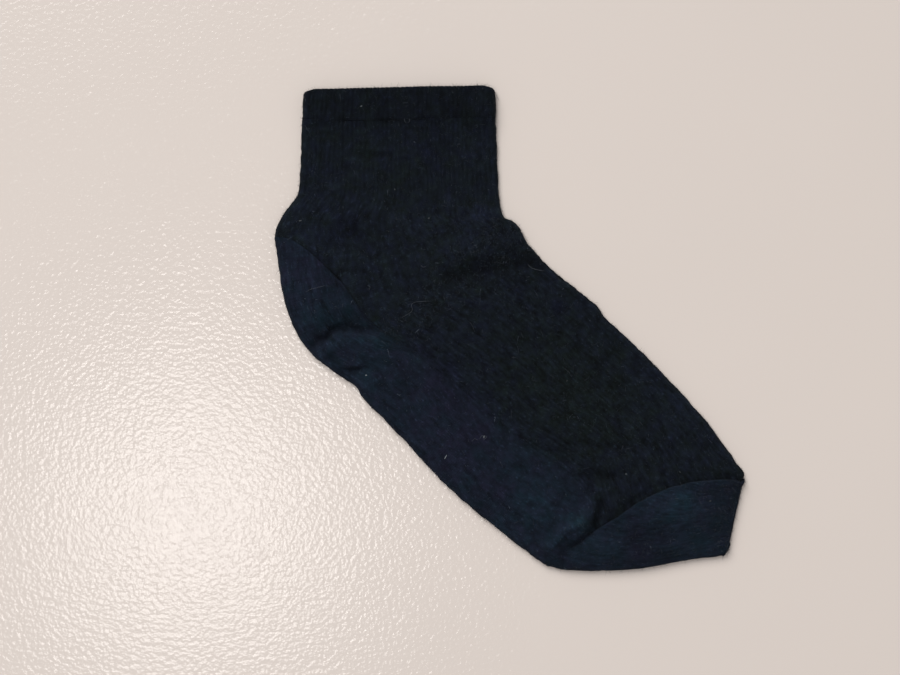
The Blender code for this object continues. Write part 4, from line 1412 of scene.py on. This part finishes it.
def make_sock():
    rib_knit = knit_material("rib_knit", stitch_depth=0.15, grain=1.0, speckles=1.2)
    plain_knit = knit_material("plain_knit", stitch_depth=0.12, grain=0.75, speckles=0.6)
    ankle = round_seam((FRONT_NOTCH, *SHOWN_HEEL), (FRONT_NOTCH, *HIDDEN_HEEL))
    toe = round_seam(SHOWN_TOE, HIDDEN_TOE)
    sides = side_seam(SHOWN_SIDE, True), side_seam(HIDDEN_SIDE, False)
    toe_ends = on_the_cloth(SHOWN_SIDE[-1], True), on_the_cloth(HIDDEN_SIDE[-1], False)
    shown_rib, hidden_rib = GUSSET_RIBS

    ribs = hidden_rib - RIBS + np.arange(RIBS * RIB_STEPS) / RIB_STEPS
    front_ribs = ribs[ribs < shown_rib + 0.01]
    back_ribs = np.append(ribs[ribs > shown_rib - 0.01], hidden_rib)
    foot_length = length_at(HEEL_FOOT)
    heel_sides = [np.linspace(length_at(section), foot_length, HEEL_ROWS) for section, _ in GUSSETS]
    sole_sides = [np.linspace(foot_length, length_at(section), SOLE_ROWS) for section, _ in toe_ends]
    instep_sides = [np.concatenate([heel[:-1], sole]) for heel, sole in zip(heel_sides, sole_sides)]
    foot = level_seam(HEEL_FOOT)
    hidden_front = lambda length: sides[1](length) - 1

    leg = tube_grid(welt_foot, ankle, ribs / RIBS, ribs, LEG_ROWS)
    instep = patch_grid(ankle, toe, 0.0, front_ribs, (hidden_front, sides[0]), instep_sides[::-1])
    heel = patch_grid(ankle, foot, 0.5, back_ribs, sides, heel_sides)
    sole = patch_grid(foot, toe, 0.5, back_ribs, sides, sole_sides)
    toe_turns = np.concatenate([instep.turns[-1], sole.turns[-1][1:-1]])
    toe_cap = tube_grid(toe, level_seam(TIP), toe_turns, ribs, TOE_ROWS)

    pieces = {
        "welt": make_welt(ribs, rib_knit),
        "leg": make_cloth("leg_rib", leg, RIB_WALL, leg_relief, rib_knit, True, raised=2.0),
        "instep": make_cloth("instep_rib", instep, RIB_WALL, instep_relief, rib_knit, True),
        "heel": make_cloth("heel_knit", heel, PLAIN_WALL, heel_relief, plain_knit, False),
        "sole": make_cloth("sole_knit", sole, PLAIN_WALL, sole_relief, plain_knit, False),
        "toe": make_cloth("toe_knit", toe_cap, PLAIN_WALL, toe_relief, plain_knit, False, has_tip=True),
    }
    faces = [face for _, face in pieces.values()]
    make_fuzz(faces, fibre_material("fuzz", FUZZ_COLOUR, 0.3, tinted=True), HAIRS)
    tops = tops_of(faces)
    make_loose_fibres(tops, fibre_material("loose_fibre", FIBRE_COLOUR, 0.5))
    make_lint(tops, fibre_material("lint", LINT_COLOUR, 0.5, tinted=True), FLECKS)
    return {name: piece for name, (piece, _) in pieces.items()}


# Each piece's node and slot, and the cut of what shows of it, all round, in metres and square metres.
Cut = namedtuple("Cut", "node slot width length area")
CUTS = {
    "welt": Cut("cuff_welt", "rib_knit", 0.166, 0.0151, None),
    "leg": Cut("leg", "rib_knit", 0.170, 0.088, 0.0104),
    "instep": Cut("instep", "rib_knit", 0.120, 0.165, 0.0139),
    "heel": Cut("heel_pocket", "plain_knit", 0.098, 0.072, 0.0048),
    "sole": Cut("sole", "plain_knit", 0.085, 0.135, 0.0100),
    "toe": Cut("toe_cap", "plain_knit", 0.135, 0.050, 0.0038),
}

make_stage()
for name, piece in make_sock().items():
    cut = CUTS[name]
    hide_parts(cut.node)
